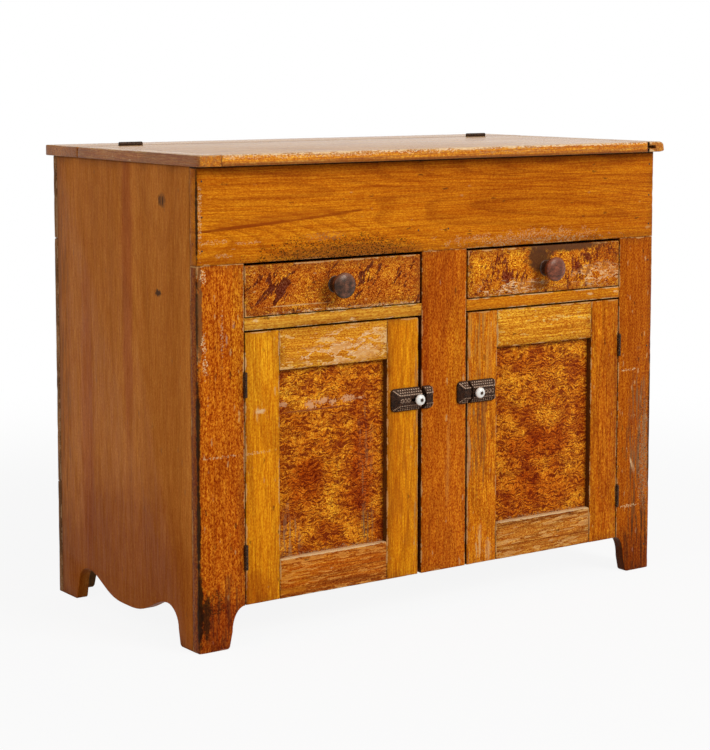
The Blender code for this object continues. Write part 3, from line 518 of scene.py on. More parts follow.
class Surface:
    """A material under way, whose colour, roughness and height are changed layer by layer."""

    def __init__(self, name: str) -> None:
        """Starts a material.

        Args:
            name: the material's name.
        """
        self.material = bpy.data.materials.new(name)
        self.material.use_nodes = True
        self.graph = Graph(self.material.node_tree)
        self.shader = self.material.node_tree.nodes["Principled BSDF"].inputs
        place = self.graph.place("ShaderNodeTexCoord", {})
        self.position = place["Object"]
        self.normal = place["Normal"]
        self.common = {"Position": self.position, "Seed": self.attribute("board_seed", "Fac")}
        self.colour: Value = MIDDLE
        self.roughness: Value = 0.5
        self.height: Value = 0.0

    def attribute(self, name: str, output: str) -> Socket:
        """Returns: an output of the piece's own attribute."""
        return self.graph.place("ShaderNodeAttribute", {}, attribute_name=name)[output]

    def wood(self, stretch: Point, ring_count: float) -> Sockets:
        """Returns: the outputs of a plank's grain."""
        return self.graph.group(EFFECTS.grain, Stretch=stretch, Ring_Count=ring_count, **self.common)

    def edges(self, width: float) -> Sockets:
        """Returns: the outputs of the wear along the piece's own edges, and of the grime and painted shade
        near them.
        """
        low, high = (self.attribute(f"board_{corner}", "Vector") for corner in ("low", "high"))
        return self.graph.group(EFFECTS.edge, Width=width, Low=low, High=high, **self.common)

    def specks(self, stretch: Point, scale: float, density: float, seed: Optional[float] = None) -> Socket:
        """Returns: scattered specks, with the piece's own seed unless another is given."""
        common = self.common if seed is None else {**self.common, "Seed": seed}
        return self.graph.group(EFFECTS.specks, Stretch=stretch, Scale=scale, Density=density, **common)[0]

    def flank(self) -> Socket:
        """Finds the faces of a front board that look sideways or down into a gap, which get painted shade.

        Returns:
            A mask of them.
        """
        facing = self.graph.split(self.normal)
        aside = self.graph.spread(self.graph.math("ABSOLUTE", facing["Y"]), 0.75, 0.35)
        return self.graph.times(aside, self.graph.spread(facing["Z"], 0.7, 0.4))

    def leave_bare(self, axis: int, wood: Sockets) -> None:
        """Leaves the faces that look into the cupboard unfinished.

        Args:
            axis: the axis along which the board's two broad faces look.
            wood: the outputs of the board's grain.
        """
        graph = self.graph
        place, facing = graph.split(self.position), graph.split(self.normal)
        outward = graph.times(graph.math("SIGN", place[axis]), facing[axis])
        inside = graph.spread(outward, -0.75, -0.95)
        timber = graph.mix(graph.spread(wood["Tone"], 0.28, 0.72), BARE_DARK, BARE_LIGHT)
        timber = graph.mix(graph.times(wood["Rings"], 0.4), timber, BARE_RING)
        timber = graph.mix(graph.times(graph.spread(wood["Streaks"], 0.45, 0.65), 0.35), timber, BARE_RING)
        self.layer(inside, timber)
        self.roughen(inside, 0.75)

    def weighed(self, mask: Value, strength: float) -> Value:
        """Returns: a mask at a share of its strength."""
        return mask if strength == 1.0 else self.graph.times(mask, strength)

    def layer(self, mask: Value, colour: Value, strength: float = 1.0, blend: str = "MIX") -> None:
        """Lays a colour over what is there, where the mask is."""
        self.colour = self.graph.mix(self.weighed(mask, strength), self.colour, colour, blend)

    def vary(self, value: Socket, amount: float, powers: Point = DYED) -> None:
        """Thins and thickens the colour by a value that is about a half, and keeps its mean.

        Args:
            value: the value.
            amount: the largest change.
            powers: how strongly red, green and blue follow it.
        """
        level = self.graph.spread(value, 0.3, 0.7, 1.0 - amount, 1.0 + amount)
        parts = {}
        for number, power in enumerate(powers):
            mean = 1.0 + 0.5 * power * (power - 1.0) * EASED_VARIANCE * amount**2
            parts[number] = self.graph.math("DIVIDE", self.graph.math("POWER", level, power), mean)
        self.layer(1.0, self.graph.place("ShaderNodeCombineXYZ", parts)[0], blend="MULTIPLY")

    def raise_by(self, value: Value, amount: float) -> None:
        """Adds a value to the height that the bump reads."""
        self.height = self.graph.plus(self.height, self.weighed(value, amount))

    def roughen(self, mask: Value, roughness: float) -> None:
        """Moves the roughness to another one where the mask is."""
        inputs = {0: mask, 2: self.roughness, 3: roughness}
        self.roughness = self.graph.place("ShaderNodeMix", inputs, data_type="FLOAT")[0]

    def mark(self, marks: Sequence[Mark], grain: Grain) -> None:
        """Lays marks over the colour in their order, each with an outline of its own."""
        for number, mark in enumerate(marks, 1):
            self._mark(mark, grain.value, {"Position": self.position, "Seed": MARK_SEED * number})

    def _mark(self, mark: Mark, stretch: Point, own: dict[str, Value]) -> None:
        """Lays one mark over the colour.

        Args:
            mark: the mark.
            stretch: the grain's stretch, for marks that follow it.
            own: the mark's own position and seed.
        """
        graph = self.graph
        place = {"Centre": mark.centre, "Radii": mark.radii, "Lean": mark.lean}
        spot = graph.group(EFFECTS.spot, Ragged=mark.ragged, Scale=mark.scale, **place, **own)[0]
        if mark.kind is MarkKind.SPECKLED:
            grit = graph.noise(graph.stretched(self.position, (0.7, 1.0, 1.0)), 430.0, 3.0, 0.75)
            spot = graph.spread(graph.plus(grit, graph.times(graph.minus(spot, 1.0), 0.25)), 0.51, 0.56)
        elif mark.kind is MarkKind.FLAKED:
            shape = {"Stretch": (0.35, 1.0, 1.0), "Scale": 2.2 * mark.scale, "Amount": 0.32}
            lifted = graph.group(EFFECTS.flakes, **shape, **own)
            self.layer(graph.times(spot, lifted["Rim"]), FLAKE_RIM, 0.9)
            spot = graph.times(spot, lifted["Flake"])
            self.raise_by(spot, -0.5)
        elif mark.kind is MarkKind.STREAKED:
            lines = graph.noise(graph.stretched(self.position, stretch), 260.0, 3.0, 0.65)
            spot = graph.times(spot, graph.spread(lines, 0.46, 0.60))
        self.layer(spot, mark.colour, mark.strength, "MULTIPLY" if mark.kind is MarkKind.TINT else "MIX")

    def close(
        self, specular: float, bump: float, distance: float = 0.0008, gloss: Colour = NEUTRAL
    ) -> Material:
        """Feeds the shader.

        Args:
            specular: the shader's specular level.
            bump: the strength of the bump.
            distance: the bump's height in metres.
            gloss: the tint of what it reflects.

        Returns:
            The material.
        """
        inputs = {"Strength": bump, "Distance": distance, "Height": self.height}
        fed = {
            "Base Color": self.colour,
            "Roughness": self.roughness,
            "Specular IOR Level": specular,
            "Specular Tint": gloss,
            "Normal": self.graph.place("ShaderNodeBump", inputs)[0],
        }
        for name, value in fed.items():
            self.graph.feed(self.shader[name], value)
        return self.material


@dataclass(frozen=True)
class Finish:
    """A finish that has one material, made when it is first used."""

    name: str

    def material(self) -> Material:
        """Returns: the finish's material."""
        return bpy.data.materials.get(self.name) or self.dress(Surface(self.name))

    def dress(self, surface: Surface) -> Material:
        """Lays the finish on a surface, in each kind's own way, and returns its material."""
        raise NotImplementedError(self.name)


@dataclass(frozen=True)
class Varnish(Finish):
    """Aged varnish over a softwood board, with its grain, wear and marks."""

    grain: Grain
    light: Colour
    dark: Colour
    ring: Colour
    ring_strength: float = 0.30
    ring_count: float = 28.0
    streaks: float = 0.30
    scuffs: float = 0.12
    grit: float = 0.26
    worn: Colour = (0.58, 0.30, 0.11)
    worn_width: float = 0.0022
    worn_strength: float = 0.7
    # Grime colour and strength, also used for painted shade near the edges and on the flanks.
    grime: Colour = (0.045, 0.015, 0.005)
    grime_strength: float = 0.35
    flake: Colour = (0.62, 0.36, 0.15)
    flake_amount: float = 0.0
    flake_scale: float = 80.0
    flake_strength: float = 0.6
    flake_stretch: float = 0.3
    nicks: float = 0.08
    dents: float = 0.08
    rough: Pair = (0.36, 0.54)
    specular: float = 0.06
    gloss: Colour = WARM_GLOSS
    bump: float = 0.45
    # How strongly painted shade darkens faces that look sideways or down into a gap.
    flank: float = 0.0
    rim: Optional[tuple[Colour, Colour]] = None
    ends: tuple[Colour, Colour] = ((0.46, 0.160, 0.034), (0.36, 0.110, 0.020))
    worn_above: float = 0.0
    inner_axis: Optional[int] = 1
    marks: tuple[Mark, ...] = ()

    def dress(self, surface: Surface) -> Material:
        """Lays grain, varnish, wear and marks on a surface.

        Args:
            surface: the surface.

        Returns:
            Its material.
        """
        wood = surface.wood(self.grain.value, self.ring_count)
        self._stain(surface, wood)
        self._age(surface, wood)
        surface.mark(self.marks, self.grain)
        if self.inner_axis is not None:
            surface.leave_bare(self.inner_axis, wood)
        return surface.close(self.specular, self.bump, gloss=self.gloss)

    def _stain(self, surface: Surface, wood: Sockets) -> None:
        """Lays the stained timber with its rings, streaks and fibres.

        Args:
            surface: the surface.
            wood: the outputs of the board's grain.
        """
        graph = surface.graph
        tone = graph.spread(wood["Tone"], 0.28, 0.72)
        surface.colour = graph.mix(tone, self.dark, self.light)
        if self.rim:
            facing = graph.split(surface.normal)
            surface.layer(graph.spread(facing["Z"], 0.75, 0.35), graph.mix(tone, self.rim[1], self.rim[0]))
            surface.vary(graph.noise(surface.position, 190.0, 3.0, 0.8), 0.25)
            aside = graph.spread(graph.math("ABSOLUTE", facing["X"]), 0.6, 0.85)
            surface.layer(aside, graph.mix(tone, self.ends[1], self.ends[0]))
        surface.layer(wood["Rings"], self.ring, self.ring_strength)
        surface.layer(graph.spread(wood["Streaks"], 0.42, 0.66), self.ring, 0.45 * self.streaks)
        surface.layer(graph.spread(wood["Streaks"], 0.54, 0.575), self.ring, 0.75 * self.streaks)
        surface.vary(wood["Fibres"], 0.8 * self.streaks)
        surface.vary(wood["Scuffs"], self.scuffs)
        surface.vary(wood["Grit"], self.grit)
        surface.roughness = graph.spread(wood["Streaks"], 0.3, 0.7, *self.rough)
        surface.raise_by(wood["Streaks"], 0.35)
        surface.raise_by(wood["Scuffs"], 0.3)

    def _age(self, surface: Surface, wood: Sockets) -> None:
        """Lays grime and painted shade near the edges, painted shade on the flanks, lifted varnish, nicks,
        dents and worn edges.

        Args:
            surface: the surface.
            wood: the outputs of the board's grain.
        """
        graph = surface.graph
        edge = surface.edges(self.worn_width)
        # Grime and painted shade darken the board near its edges, more where its tone is dark.
        grime_and_shade_near_edges = graph.times(edge["Near"], graph.spread(wood["Tone"], 0.65, 0.35))
        surface.layer(grime_and_shade_near_edges, self.grime, self.grime_strength)
        if self.flake_amount:
            shape = {"Stretch": (self.flake_stretch, 1.0, 1.0), "Scale": self.flake_scale}
            lifted = graph.group(EFFECTS.flakes, Amount=self.flake_amount, **shape, **surface.common)
            surface.layer(lifted["Flake"], self.flake, self.flake_strength)
            surface.layer(lifted["Rim"], tuple(min(0.85, 1.45 * part) for part in self.flake), 0.75)
            surface.raise_by(lifted["Flake"], -0.6)
            surface.roughen(lifted["Flake"], 0.7)
        across = tuple(0.35 if part < 0.5 else 1.0 for part in self.grain.value)
        surface.layer(surface.specks(across, 125.0, self.nicks), self.worn, 0.6)
        dent = surface.specks(across, 100.0, self.dents, 4.3)
        surface.layer(dent, self.grime, 0.6)
        surface.raise_by(dent, -0.8)
        surface.layer(edge["Line"], self.grime, 0.5 * self.grime_strength)
        # Painted shade on faces that look sideways or down into a gap.
        if self.flank:
            surface.layer(surface.flank(), self.grime, self.flank)
        worn = edge["Worn"]
        if self.worn_above:
            height = graph.split(surface.position)["Z"]
            worn = graph.times(worn, graph.spread(height, self.worn_above, self.worn_above + 0.004))
        surface.layer(worn, self.worn, self.worn_strength)
        surface.roughen(worn, 0.7)


@dataclass(frozen=True)
class BurlPaint(Finish):
    """Burl imitated in paint under varnish: gold with dark clouds, dabs, curls and eyes."""

    gold: Colour = (0.675, 0.238, 0.013)
    amber: Colour = (0.55, 0.128, 0.005)
    umber: Colour = (0.150, 0.015, 0.003)
    grime: Colour = (0.05, 0.012, 0.004)
    specular: float = 0.06
    ring_count: float = 28.0
    marks: tuple[Mark, ...] = ()

    def dress(self, surface: Surface) -> Material:
        """Paints the burl on a panel, and leaves its inside bare.

        Args:
            surface: the surface.

        Returns:
            Its material.
        """
        graph = surface.graph
        burl = graph.group(EFFECTS.burl, **surface.common)
        surface.colour = graph.mix(graph.spread(burl["Clouds"], 0.34, 0.66), self.gold, self.amber)
        surface.layer(graph.spread(burl["Clouds"], 0.48, 0.70), self.umber, 0.15)
        surface.layer(burl["Dabs"], self.umber, 0.48)
        surface.layer(burl["Curls"], self.umber, 0.88)
        surface.layer(burl["Eyes"], self.umber, 0.75)
        surface.vary(burl["Fine"], 0.44)
        surface.vary(graph.noise(surface.position, 480.0, 2.0, 0.8), 0.46)
        surface.roughness = graph.spread(burl["Fine"], 0.3, 0.7, 0.32, 0.48)
        surface.raise_by(burl["Curls"], 0.25)
        surface.raise_by(burl["Fine"], 0.3)
        # Grime and painted shade darken the panel near its edges, in the frame's recess.
        surface.layer(surface.edges(0.002)["Near"], self.grime, 0.5)
        surface.mark(self.marks, Grain.ALONG_Z)
        surface.leave_bare(1, surface.wood(Grain.ALONG_Z.value, self.ring_count))
        return surface.close(self.specular, 0.4, gloss=WARM_GLOSS)


@dataclass(frozen=True)
class FeatherPaint(Finish):
    """Feathered dark strokes on mottled gold, as on the drawer fronts."""

    lean: float
    gold: Colour = (0.60, 0.225, 0.016)
    amber: Colour = (0.40, 0.100, 0.009)
    plum: Colour = (0.085, 0.013, 0.009)
    worn: Colour = (0.62, 0.36, 0.15)
    grime: Colour = (0.10, 0.03, 0.008)
    amount: float = 0.0
    scale: float = 32.0
    specular: float = 0.06
    ring_count: float = 28.0
    flame_depth: float = 0.05
    flames: tuple[Flame, ...] = ()
    marks: tuple[Mark, ...] = ()

    def dress(self, surface: Surface) -> Material:
        """Paints the strokes on a drawer front, and leaves its inside bare.

        Args:
            surface: the surface.

        Returns:
            Its material.
        """
        graph = surface.graph
        burl = graph.group(EFFECTS.burl, **surface.common)
        surface.colour = graph.mix(graph.spread(burl["Clouds"], 0.28, 0.78), self.gold, self.amber)
        surface.layer(burl["Dabs"], self.amber, 0.8)
        surface.layer(burl["Curls"], self.amber, 0.6)
        surface.layer(self._strokes(surface), self.plum, 0.9)
        for scale, density, strength in ((105.0, 0.62, 0.85), (180.0, 0.5, 0.6)):
            surface.layer(surface.specks((0.75, 1.0, 1.0), scale, density), self.plum, strength)
        surface.vary(burl["Fine"], 0.55)
        surface.vary(graph.noise(surface.position, 450.0, 2.0, 0.9), 0.80)
        surface.roughness = graph.spread(burl["Fine"], 0.3, 0.7, 0.34, 0.52)
        surface.raise_by(burl["Fine"], 0.4)
        edge = surface.edges(0.0022)
        # Grime and painted shade darken the drawer front near its edges.
        surface.layer(edge["Near"], self.grime, 0.35)
        surface.layer(surface.specks((0.5, 1.0, 1.0), 125.0, 0.08, 2.9), self.worn, 0.55)
        surface.layer(edge["Worn"], self.worn, 0.6)
        surface.roughen(edge["Worn"], 0.7)
        surface.mark(self.marks, Grain.ALONG_X)
        surface.leave_bare(1, surface.wood(Grain.ALONG_X.value, self.ring_count))
        return surface.close(self.specular, 0.45, gloss=WARM_GLOSS)

    def _strokes(self, surface: Surface) -> Socket:
        """Gathers the brush strokes where the flames are.

        Args:
            surface: the surface.

        Returns:
            A mask of the strokes.
        """
        graph = surface.graph
        amount: Value = self.amount
        for flame in self.flames:
            centre, radii = (flame.x, MARK_FACE, flame.z), (flame.wide, self.flame_depth, flame.tall)
            shape = {"Centre": centre, "Radii": radii, "Lean": flame.lean, "Ragged": 0.8, "Scale": 80.0}
            spot = graph.group(EFFECTS.spot, **shape, **surface.common)[0]
            amount = graph.plus(amount, graph.times(spot, flame.weight))
        shape = {"Lean": self.lean, "Amount": amount, "Scale": self.scale}
        return graph.group(EFFECTS.strokes, **shape, **surface.common)[0]


@dataclass(frozen=True)
class Iron(Finish):
    """Dark iron with a brown skin, rubbed bright or rusty in places, and where asked a painted highlight on
    upward faces and painted shade on downward ones.
    """

    skin: Colour
    rubbed: Colour
    rust: Colour
    metallic: float = 0.35
    rough: Pair = (0.30, 0.58)
    specular: float = 0.4
    # How strongly upward faces get a painted highlight and downward faces painted shade.
    topped: float = 0.0

    def dress(self, surface: Surface) -> Material:
        """Lays the skin, the rust, the rubbed places and any painted highlight and shade by facing on a
        surface.

        Args:
            surface: the surface.

        Returns:
            Its material.
        """
        graph = surface.graph
        surface.colour = self.skin
        blotches = graph.noise(surface.position, 170.0, 5.0, 0.65)
        grit = graph.noise(surface.position, 700.0, 3.0, 0.6)
        surface.layer(graph.spread(blotches, 0.44, 0.60), self.rust, 0.8)
        surface.layer(graph.spread(grit, 0.52, 0.68), self.rubbed, 0.6)
        surface.vary(grit, 0.3, NEUTRAL)
        # Painted highlight on faces that look up, painted shade with the skin colour on faces that look down.
        if self.topped:
            upward = graph.split(surface.normal)["Z"]
            surface.layer(graph.spread(upward, 0.25, 0.75), self.rubbed, self.topped)
            surface.layer(graph.spread(upward, -0.25, -0.75), self.skin, 0.8)
        surface.roughness = graph.spread(blotches, 0.35, 0.65, *self.rough)
        surface.raise_by(grit, 0.5)
        surface.raise_by(blotches, 0.5)
        surface.shader["Metallic"].default_value = self.metallic
        return surface.close(self.specular, 0.5, 0.0006, IRON_GLOSS)


@dataclass(frozen=True)
class TurnedWood(Finish):
    """Dark varnished wood turned on a lathe, rubbed by hands on its face, with a painted highlight on its
    upper side and a painted shadow at its neck.
    """

    dark: Colour
    rubbed: Colour
    # Y range over which the painted shadow at the neck grows towards the drawer front.
    neck: Pair = (-0.277, -0.266)
    ring_count: float = 60.0

    def dress(self, surface: Surface) -> Material:
        """Lays the dark wood, its rubbed face, a painted highlight on its upper side and a painted shadow at
        its neck on a surface.

        Args:
            surface: the surface.

        Returns:
            Its material.
        """
        graph = surface.graph
        surface.colour = self.dark
        wood = surface.wood((0.3, 1.0, 1.0), self.ring_count)
        blotches = graph.noise(surface.position, 95.0, 3.0, 0.55)
        surface.layer(graph.spread(blotches, 0.38, 0.68), self.rubbed, 0.55)
        surface.vary(wood["Streaks"], 0.45, NEUTRAL)
        surface.vary(wood["Grit"], 0.3, NEUTRAL)
        # Painted highlight on the upper side of the knob.
        surface.layer(graph.spread(graph.split(surface.normal)["Z"], 0.05, 0.6), self.rubbed, 0.6)
        # Painted shadow at the neck, close to the drawer front.
        surface.layer(graph.spread(graph.split(surface.position)["Y"], *self.neck), NECK_SHADOW, 0.85)
        surface.roughness = graph.spread(blotches, 0.35, 0.65, 0.34, 0.20)
        surface.raise_by(wood["Streaks"], 0.4)
        return surface.close(0.35, 0.3, 0.0004, KNOB_GLOSS)


@dataclass(frozen=True)
class Glaze(Finish):
    """White glazed china, a little stained."""

    white: Colour = (0.80, 0.79, 0.74)
    stain: Colour = (0.50, 0.42, 0.30)
    marks: tuple[Mark, ...] = ()

    def dress(self, surface: Surface) -> Material:
        """Lays the glaze and its stains on a surface.

        Args:
            surface: the surface.

        Returns:
            Its material.
        """
        graph = surface.graph
        surface.colour = self.white
        cloud = graph.noise(surface.position, 160.0, 4.0, 0.6)
        surface.layer(graph.spread(cloud, 0.55, 0.75), self.stain, 0.4)
        surface.mark(self.marks, Grain.ALONG_Z)
        surface.roughness = graph.spread(cloud, 0.3, 0.7, 0.10, 0.24)
        surface.raise_by(cloud, 0.2)
        return surface.close(0.5, 0.1, 0.0003)


STAIN, SPECKLED, FLAKED, STREAKED, TINT = MarkKind


def on_front(
    x: float,
    z: float,
    wide: float,
    tall: float,
    colour: Colour,
    *look: Union[float, MarkKind],
    deep: float = 0.05,
    face: float = MARK_FACE,
) -> Mark:
    """Makes a mark on a face that looks forward.

    Args:
        x: its place across the front.
        z: its height.
        wide: half its width.
        tall: half its height.
        colour: its colour.
        look: a mark's other values in their order.
        deep: how far it reaches behind the face.
        face: Y of the face.

    Returns:
        The mark.
    """
    return Mark((x, face, z), (wide, deep, tall), colour, *look)


def on_side(
    y: float, z: float, deep: float, tall: float, colour: Colour, *look: Union[float, MarkKind]
) -> Mark:
    """Returns: a mark on the left side board, by its place and half sizes along Y and Z."""
    return Mark((-0.535, y, z), (0.02, deep, tall), colour, *look)


on_fascia = partial(on_front, deep=0.1)
on_panel = partial(on_front, face=-0.243)
on_lid = partial(on_front, deep=0.004, face=-0.2796)
# Near-black, used for soot and also for painted shadow in gaps and under the lid.
SOOT_AND_SHADOW: Colour = (0.016, 0.007, 0.003)
SMOKE: Colour = (0.1, 0.035, 0.01)
TAN: Colour = (0.66, 0.38, 0.15)
CREAM: Colour = (0.74, 0.5, 0.26)

SIDE_BROWN = Varnish(
    "side_brown", Grain.ALONG_Z, inner_axis=0, light=(0.535, 0.174, 0.026), dark=(0.415, 0.12, 0.014),
    ring=(0.26, 0.066, 0.006), ring_strength=0.16, streaks=0.15, scuffs=0.05, grit=0.14,
    worn=(0.28, 0.105, 0.032), worn_strength=0.5, nicks=0.02, dents=0.07, specular=0.03,
    marks=(
        on_side(-0.01, 0.64, 0.026, 0.4, (0.8, 0.66, 0.8), 1.0, TINT, 0.6, 12.0),
        on_side(0.15, 0.35, 0.03, 0.4, (0.88, 0.76, 0.88), 1.0, TINT, 0.6, 12.0),
        on_side(-0.14, 0.789, 0.016, 0.015, (0.16, 0.06, 0.02), 0.7, STAIN, 1.6, 110.0),
        on_side(-0.134, 0.789, 0.014, 0.013, (0.025, 0.014, 0.009), 0.95, STREAKED, 1.4, 160.0),
        on_side(-0.122, 0.624, 0.012, 0.008, (0.04, 0.022, 0.014), 0.9, STAIN, 1.8, 180.0),
        # Painted shade: the side darkens towards the floor.
        on_side(0.0, 0.02, 0.4, 0.3, (0.7, 0.56, 0.36), 1.0, TINT, 0.5, 12.0),
        on_side(0.24, 0.5, 0.03, 0.6, (0.17, 0.05, 0.01), 0.5, STREAKED, 0.8, 20.0),
    ),
)
BACK_BROWN = Varnish(
    "back_brown", Grain.ALONG_X, light=(0.34, 0.165, 0.07), dark=(0.22, 0.095, 0.036),
    ring=(0.16, 0.065, 0.024), ring_strength=0.4, worn=(0.42, 0.24, 0.12), worn_width=0.0034, nicks=0.06,
    grime_strength=0.6, rough=(0.55, 0.75),
)
BACK_PALE = replace(BACK_BROWN, name="back_pale_brown", light=(0.4, 0.2, 0.088), dark=(0.27, 0.12, 0.046))
FASCIA_ORANGE = Varnish(
    "fascia_orange", Grain.ALONG_X, light=(0.6, 0.185, 0.005), dark=(0.5, 0.132, 0.0035),
    ring=(0.3, 0.06, 0.002), ring_strength=0.44, ring_count=42.0, streaks=0.26, scuffs=0.05, nicks=0.06,
    dents=0.05,
    marks=(
        on_fascia(-0.43, 0.747, 0.15, 0.0042, (0.2, 0.028, 0.002), 0.85, STAIN, 0.7, 30.0, 0.062),
        on_fascia(-0.25, 0.76, 0.11, 0.0036, (0.22, 0.034, 0.002), 0.7, STAIN, 0.9, 30.0, 0.089),
        on_fascia(-0.36, 0.758, 0.16, 0.012, (0.32, 0.06, 0.003), 0.5, STAIN, 1.2, 25.0, 0.07),
        on_fascia(0.36, 0.78, 0.4, 0.14, (0.9, 0.86, 0.8), 1.0, TINT, 1.0, 10.0),
        # Painted shadow of the lid's overhang on the top of the fascia.
        on_fascia(0.0, 0.856, 0.8, 0.045, (0.74, 0.66, 0.7), 1.0, TINT, 0.8, 14.0),
        on_fascia(-0.22, 0.686, 0.2, 0.026, (0.2, 0.06, 0.01), 0.5, STAIN, 1.0, 40.0),
        on_fascia(-0.23, 0.688, 0.28, 0.052, SOOT_AND_SHADOW, 0.8, SPECKLED, 0.8, 50.0),
        on_fascia(-0.22, 0.684, 0.16, 0.014, SOOT_AND_SHADOW, 0.75, SPECKLED, 1.2, 60.0),
        on_fascia(0.25, 0.688, 0.3, 0.012, SMOKE, 0.6, SPECKLED, 1.8, 90.0),
        on_fascia(0.22, 0.697, 0.28, 0.02, CREAM, 0.35, SPECKLED, 2.6, 60.0),
        on_fascia(-0.5, 0.722, 0.04, 0.007, CREAM, 0.35, SPECKLED, 1.6, 80.0),
        on_fascia(-0.43, 0.718, 0.04, 0.005, CREAM, 0.35, SPECKLED, 1.6, 80.0),
        on_fascia(-0.48, 0.697, 0.03, 0.006, CREAM, 0.35, SPECKLED, 1.6, 80.0),
        on_fascia(-0.27, 0.722, 0.06, 0.012, (0.34, 0.16, 0.07), 0.45, SPECKLED, 1.6, 80.0),
        on_fascia(0.24, 0.76, 0.3, 0.02, (0.89, 0.82, 0.8), 1.0, TINT, 1.6, 25.0),
        on_fascia(0.05, 0.79, 0.3, 0.07, (0.92, 0.87, 0.9), 1.0, TINT, 1.4, 14.0),
        on_front(-0.528, 0.76, 0.007, 0.09, CREAM, 0.5, SPECKLED, 1.6, 120.0, deep=0.02),
        on_front(-0.535, 0.765, 0.0042, 0.11, SOOT_AND_SHADOW, 0.95, STAIN, 1.4, 140.0, deep=0.0042),
        # Painted shadow: a dark line along the top of the fascia under the lid.
        on_fascia(0.0, 0.8533, 2.0, 0.005, SOOT_AND_SHADOW, 0.92, STAIN, 0.5, 60.0),
    ),
)
STILE_ORANGE = Varnish(
    "stile_orange", Grain.ALONG_Z, light=(0.54, 0.138, 0.006), dark=(0.42, 0.09, 0.004),
    ring=(0.22, 0.032, 0.002), ring_strength=0.22, scuffs=0.1, grit=0.6, nicks=0.2, dents=0.16,
    worn=(0.58, 0.31, 0.12), flank=0.35,
    marks=(
        on_front(-0.535, 0.4, 0.007, 0.12, SOOT_AND_SHADOW, 0.95, STAIN, 1.4, 60.0, deep=0.008),
        on_front(-0.535, 0.23, 0.0055, 0.13, SOOT_AND_SHADOW, 0.95, STAIN, 1.6, 70.0, deep=0.007),
        on_front(-0.534, 0.075, 0.009, 0.095, SOOT_AND_SHADOW, 0.95, STAIN, 1.6, 60.0, deep=0.008),
        on_front(-0.535, 0.59, 0.005, 0.1, SOOT_AND_SHADOW, 0.9, STAIN, 1.6, 80.0, deep=0.006),
        on_front(-0.529, 0.6, 0.006, 0.11, (0.16, 0.065, 0.022), 0.8, STAIN, 1.8, 90.0),
        on_front(-0.522, 0.548, 0.007, 0.026, CREAM, 0.85, SPECKLED, 1.6, 120.0),
        on_front(-0.519, 0.508, 0.008, 0.03, CREAM, 0.85, SPECKLED, 1.6, 120.0),
        on_front(-0.522, 0.664, 0.01, 0.02, CREAM, 0.9, SPECKLED, 1.6, 120.0),
        on_front(-0.485, 0.56, 0.005, 0.06, CREAM, 0.4, SPECKLED, 1.8, 120.0),
        on_front(-0.455, 0.54, 0.018, 0.16, (1.06, 1.22, 1.1), 1.0, TINT, 1.2, 30.0),
        on_front(-0.462, 0.578, 0.005, 0.011, (0.3, 0.22, 0.19), 0.75, STREAKED, 1.6, 160.0),
        on_front(-0.477, 0.549, 0.0045, 0.014, (0.3, 0.2, 0.17), 0.75, STREAKED, 1.6, 160.0),
        on_front(-0.48, 0.06, 0.05, 0.08, SMOKE, 0.6, STREAKED, 1.4, 40.0),
        on_front(-0.485, 0.03, 0.08, 0.075, (0.62, 0.46, 0.7), 1.0, TINT, 1.6, 40.0),
        on_front(-0.52, 0.06, 0.01, 0.05, SOOT_AND_SHADOW, 0.85, STAIN, 1.8, 70.0),
        on_front(-0.5, 0.085, 0.034, 0.034, SOOT_AND_SHADOW, 0.7, SPECKLED, 1.6, 60.0),
        on_front(-0.49, 0.345, 0.055, 0.004, CREAM, 0.55, SPECKLED, 1.6, 150.0),
    ),
)
CENTRE_ORANGE = replace(
    STILE_ORANGE, name="centre_stile_orange", light=(0.53, 0.134, 0.005), streaks=0.22, scuffs=0.08,
    grit=0.46, nicks=0.06, dents=0.05, flank=0.85,
    marks=(
        on_front(0.0, 0.6, 0.05, 0.1, (0.82, 0.72, 0.8), 1.0, TINT, 1.0, 25.0),
        on_front(-0.044, 0.5, 0.014, 0.13, (0.94, 0.76, 0.7), 1.0, TINT, 1.0, 40.0),
        on_front(0.028, 0.48, 0.026, 0.12, (1.05, 1.2, 1.1), 1.0, TINT, 1.2, 25.0),
        on_front(-0.025, 0.16, 0.03, 0.08, (0.25, 0.04, 0.002), 0.5, STREAKED, 1.0, 40.0),
        on_front(0.012, 0.3, 0.008, 0.15, (0.62, 0.26, 0.05), 0.3, STREAKED, 1.4, 60.0),
    ),
)
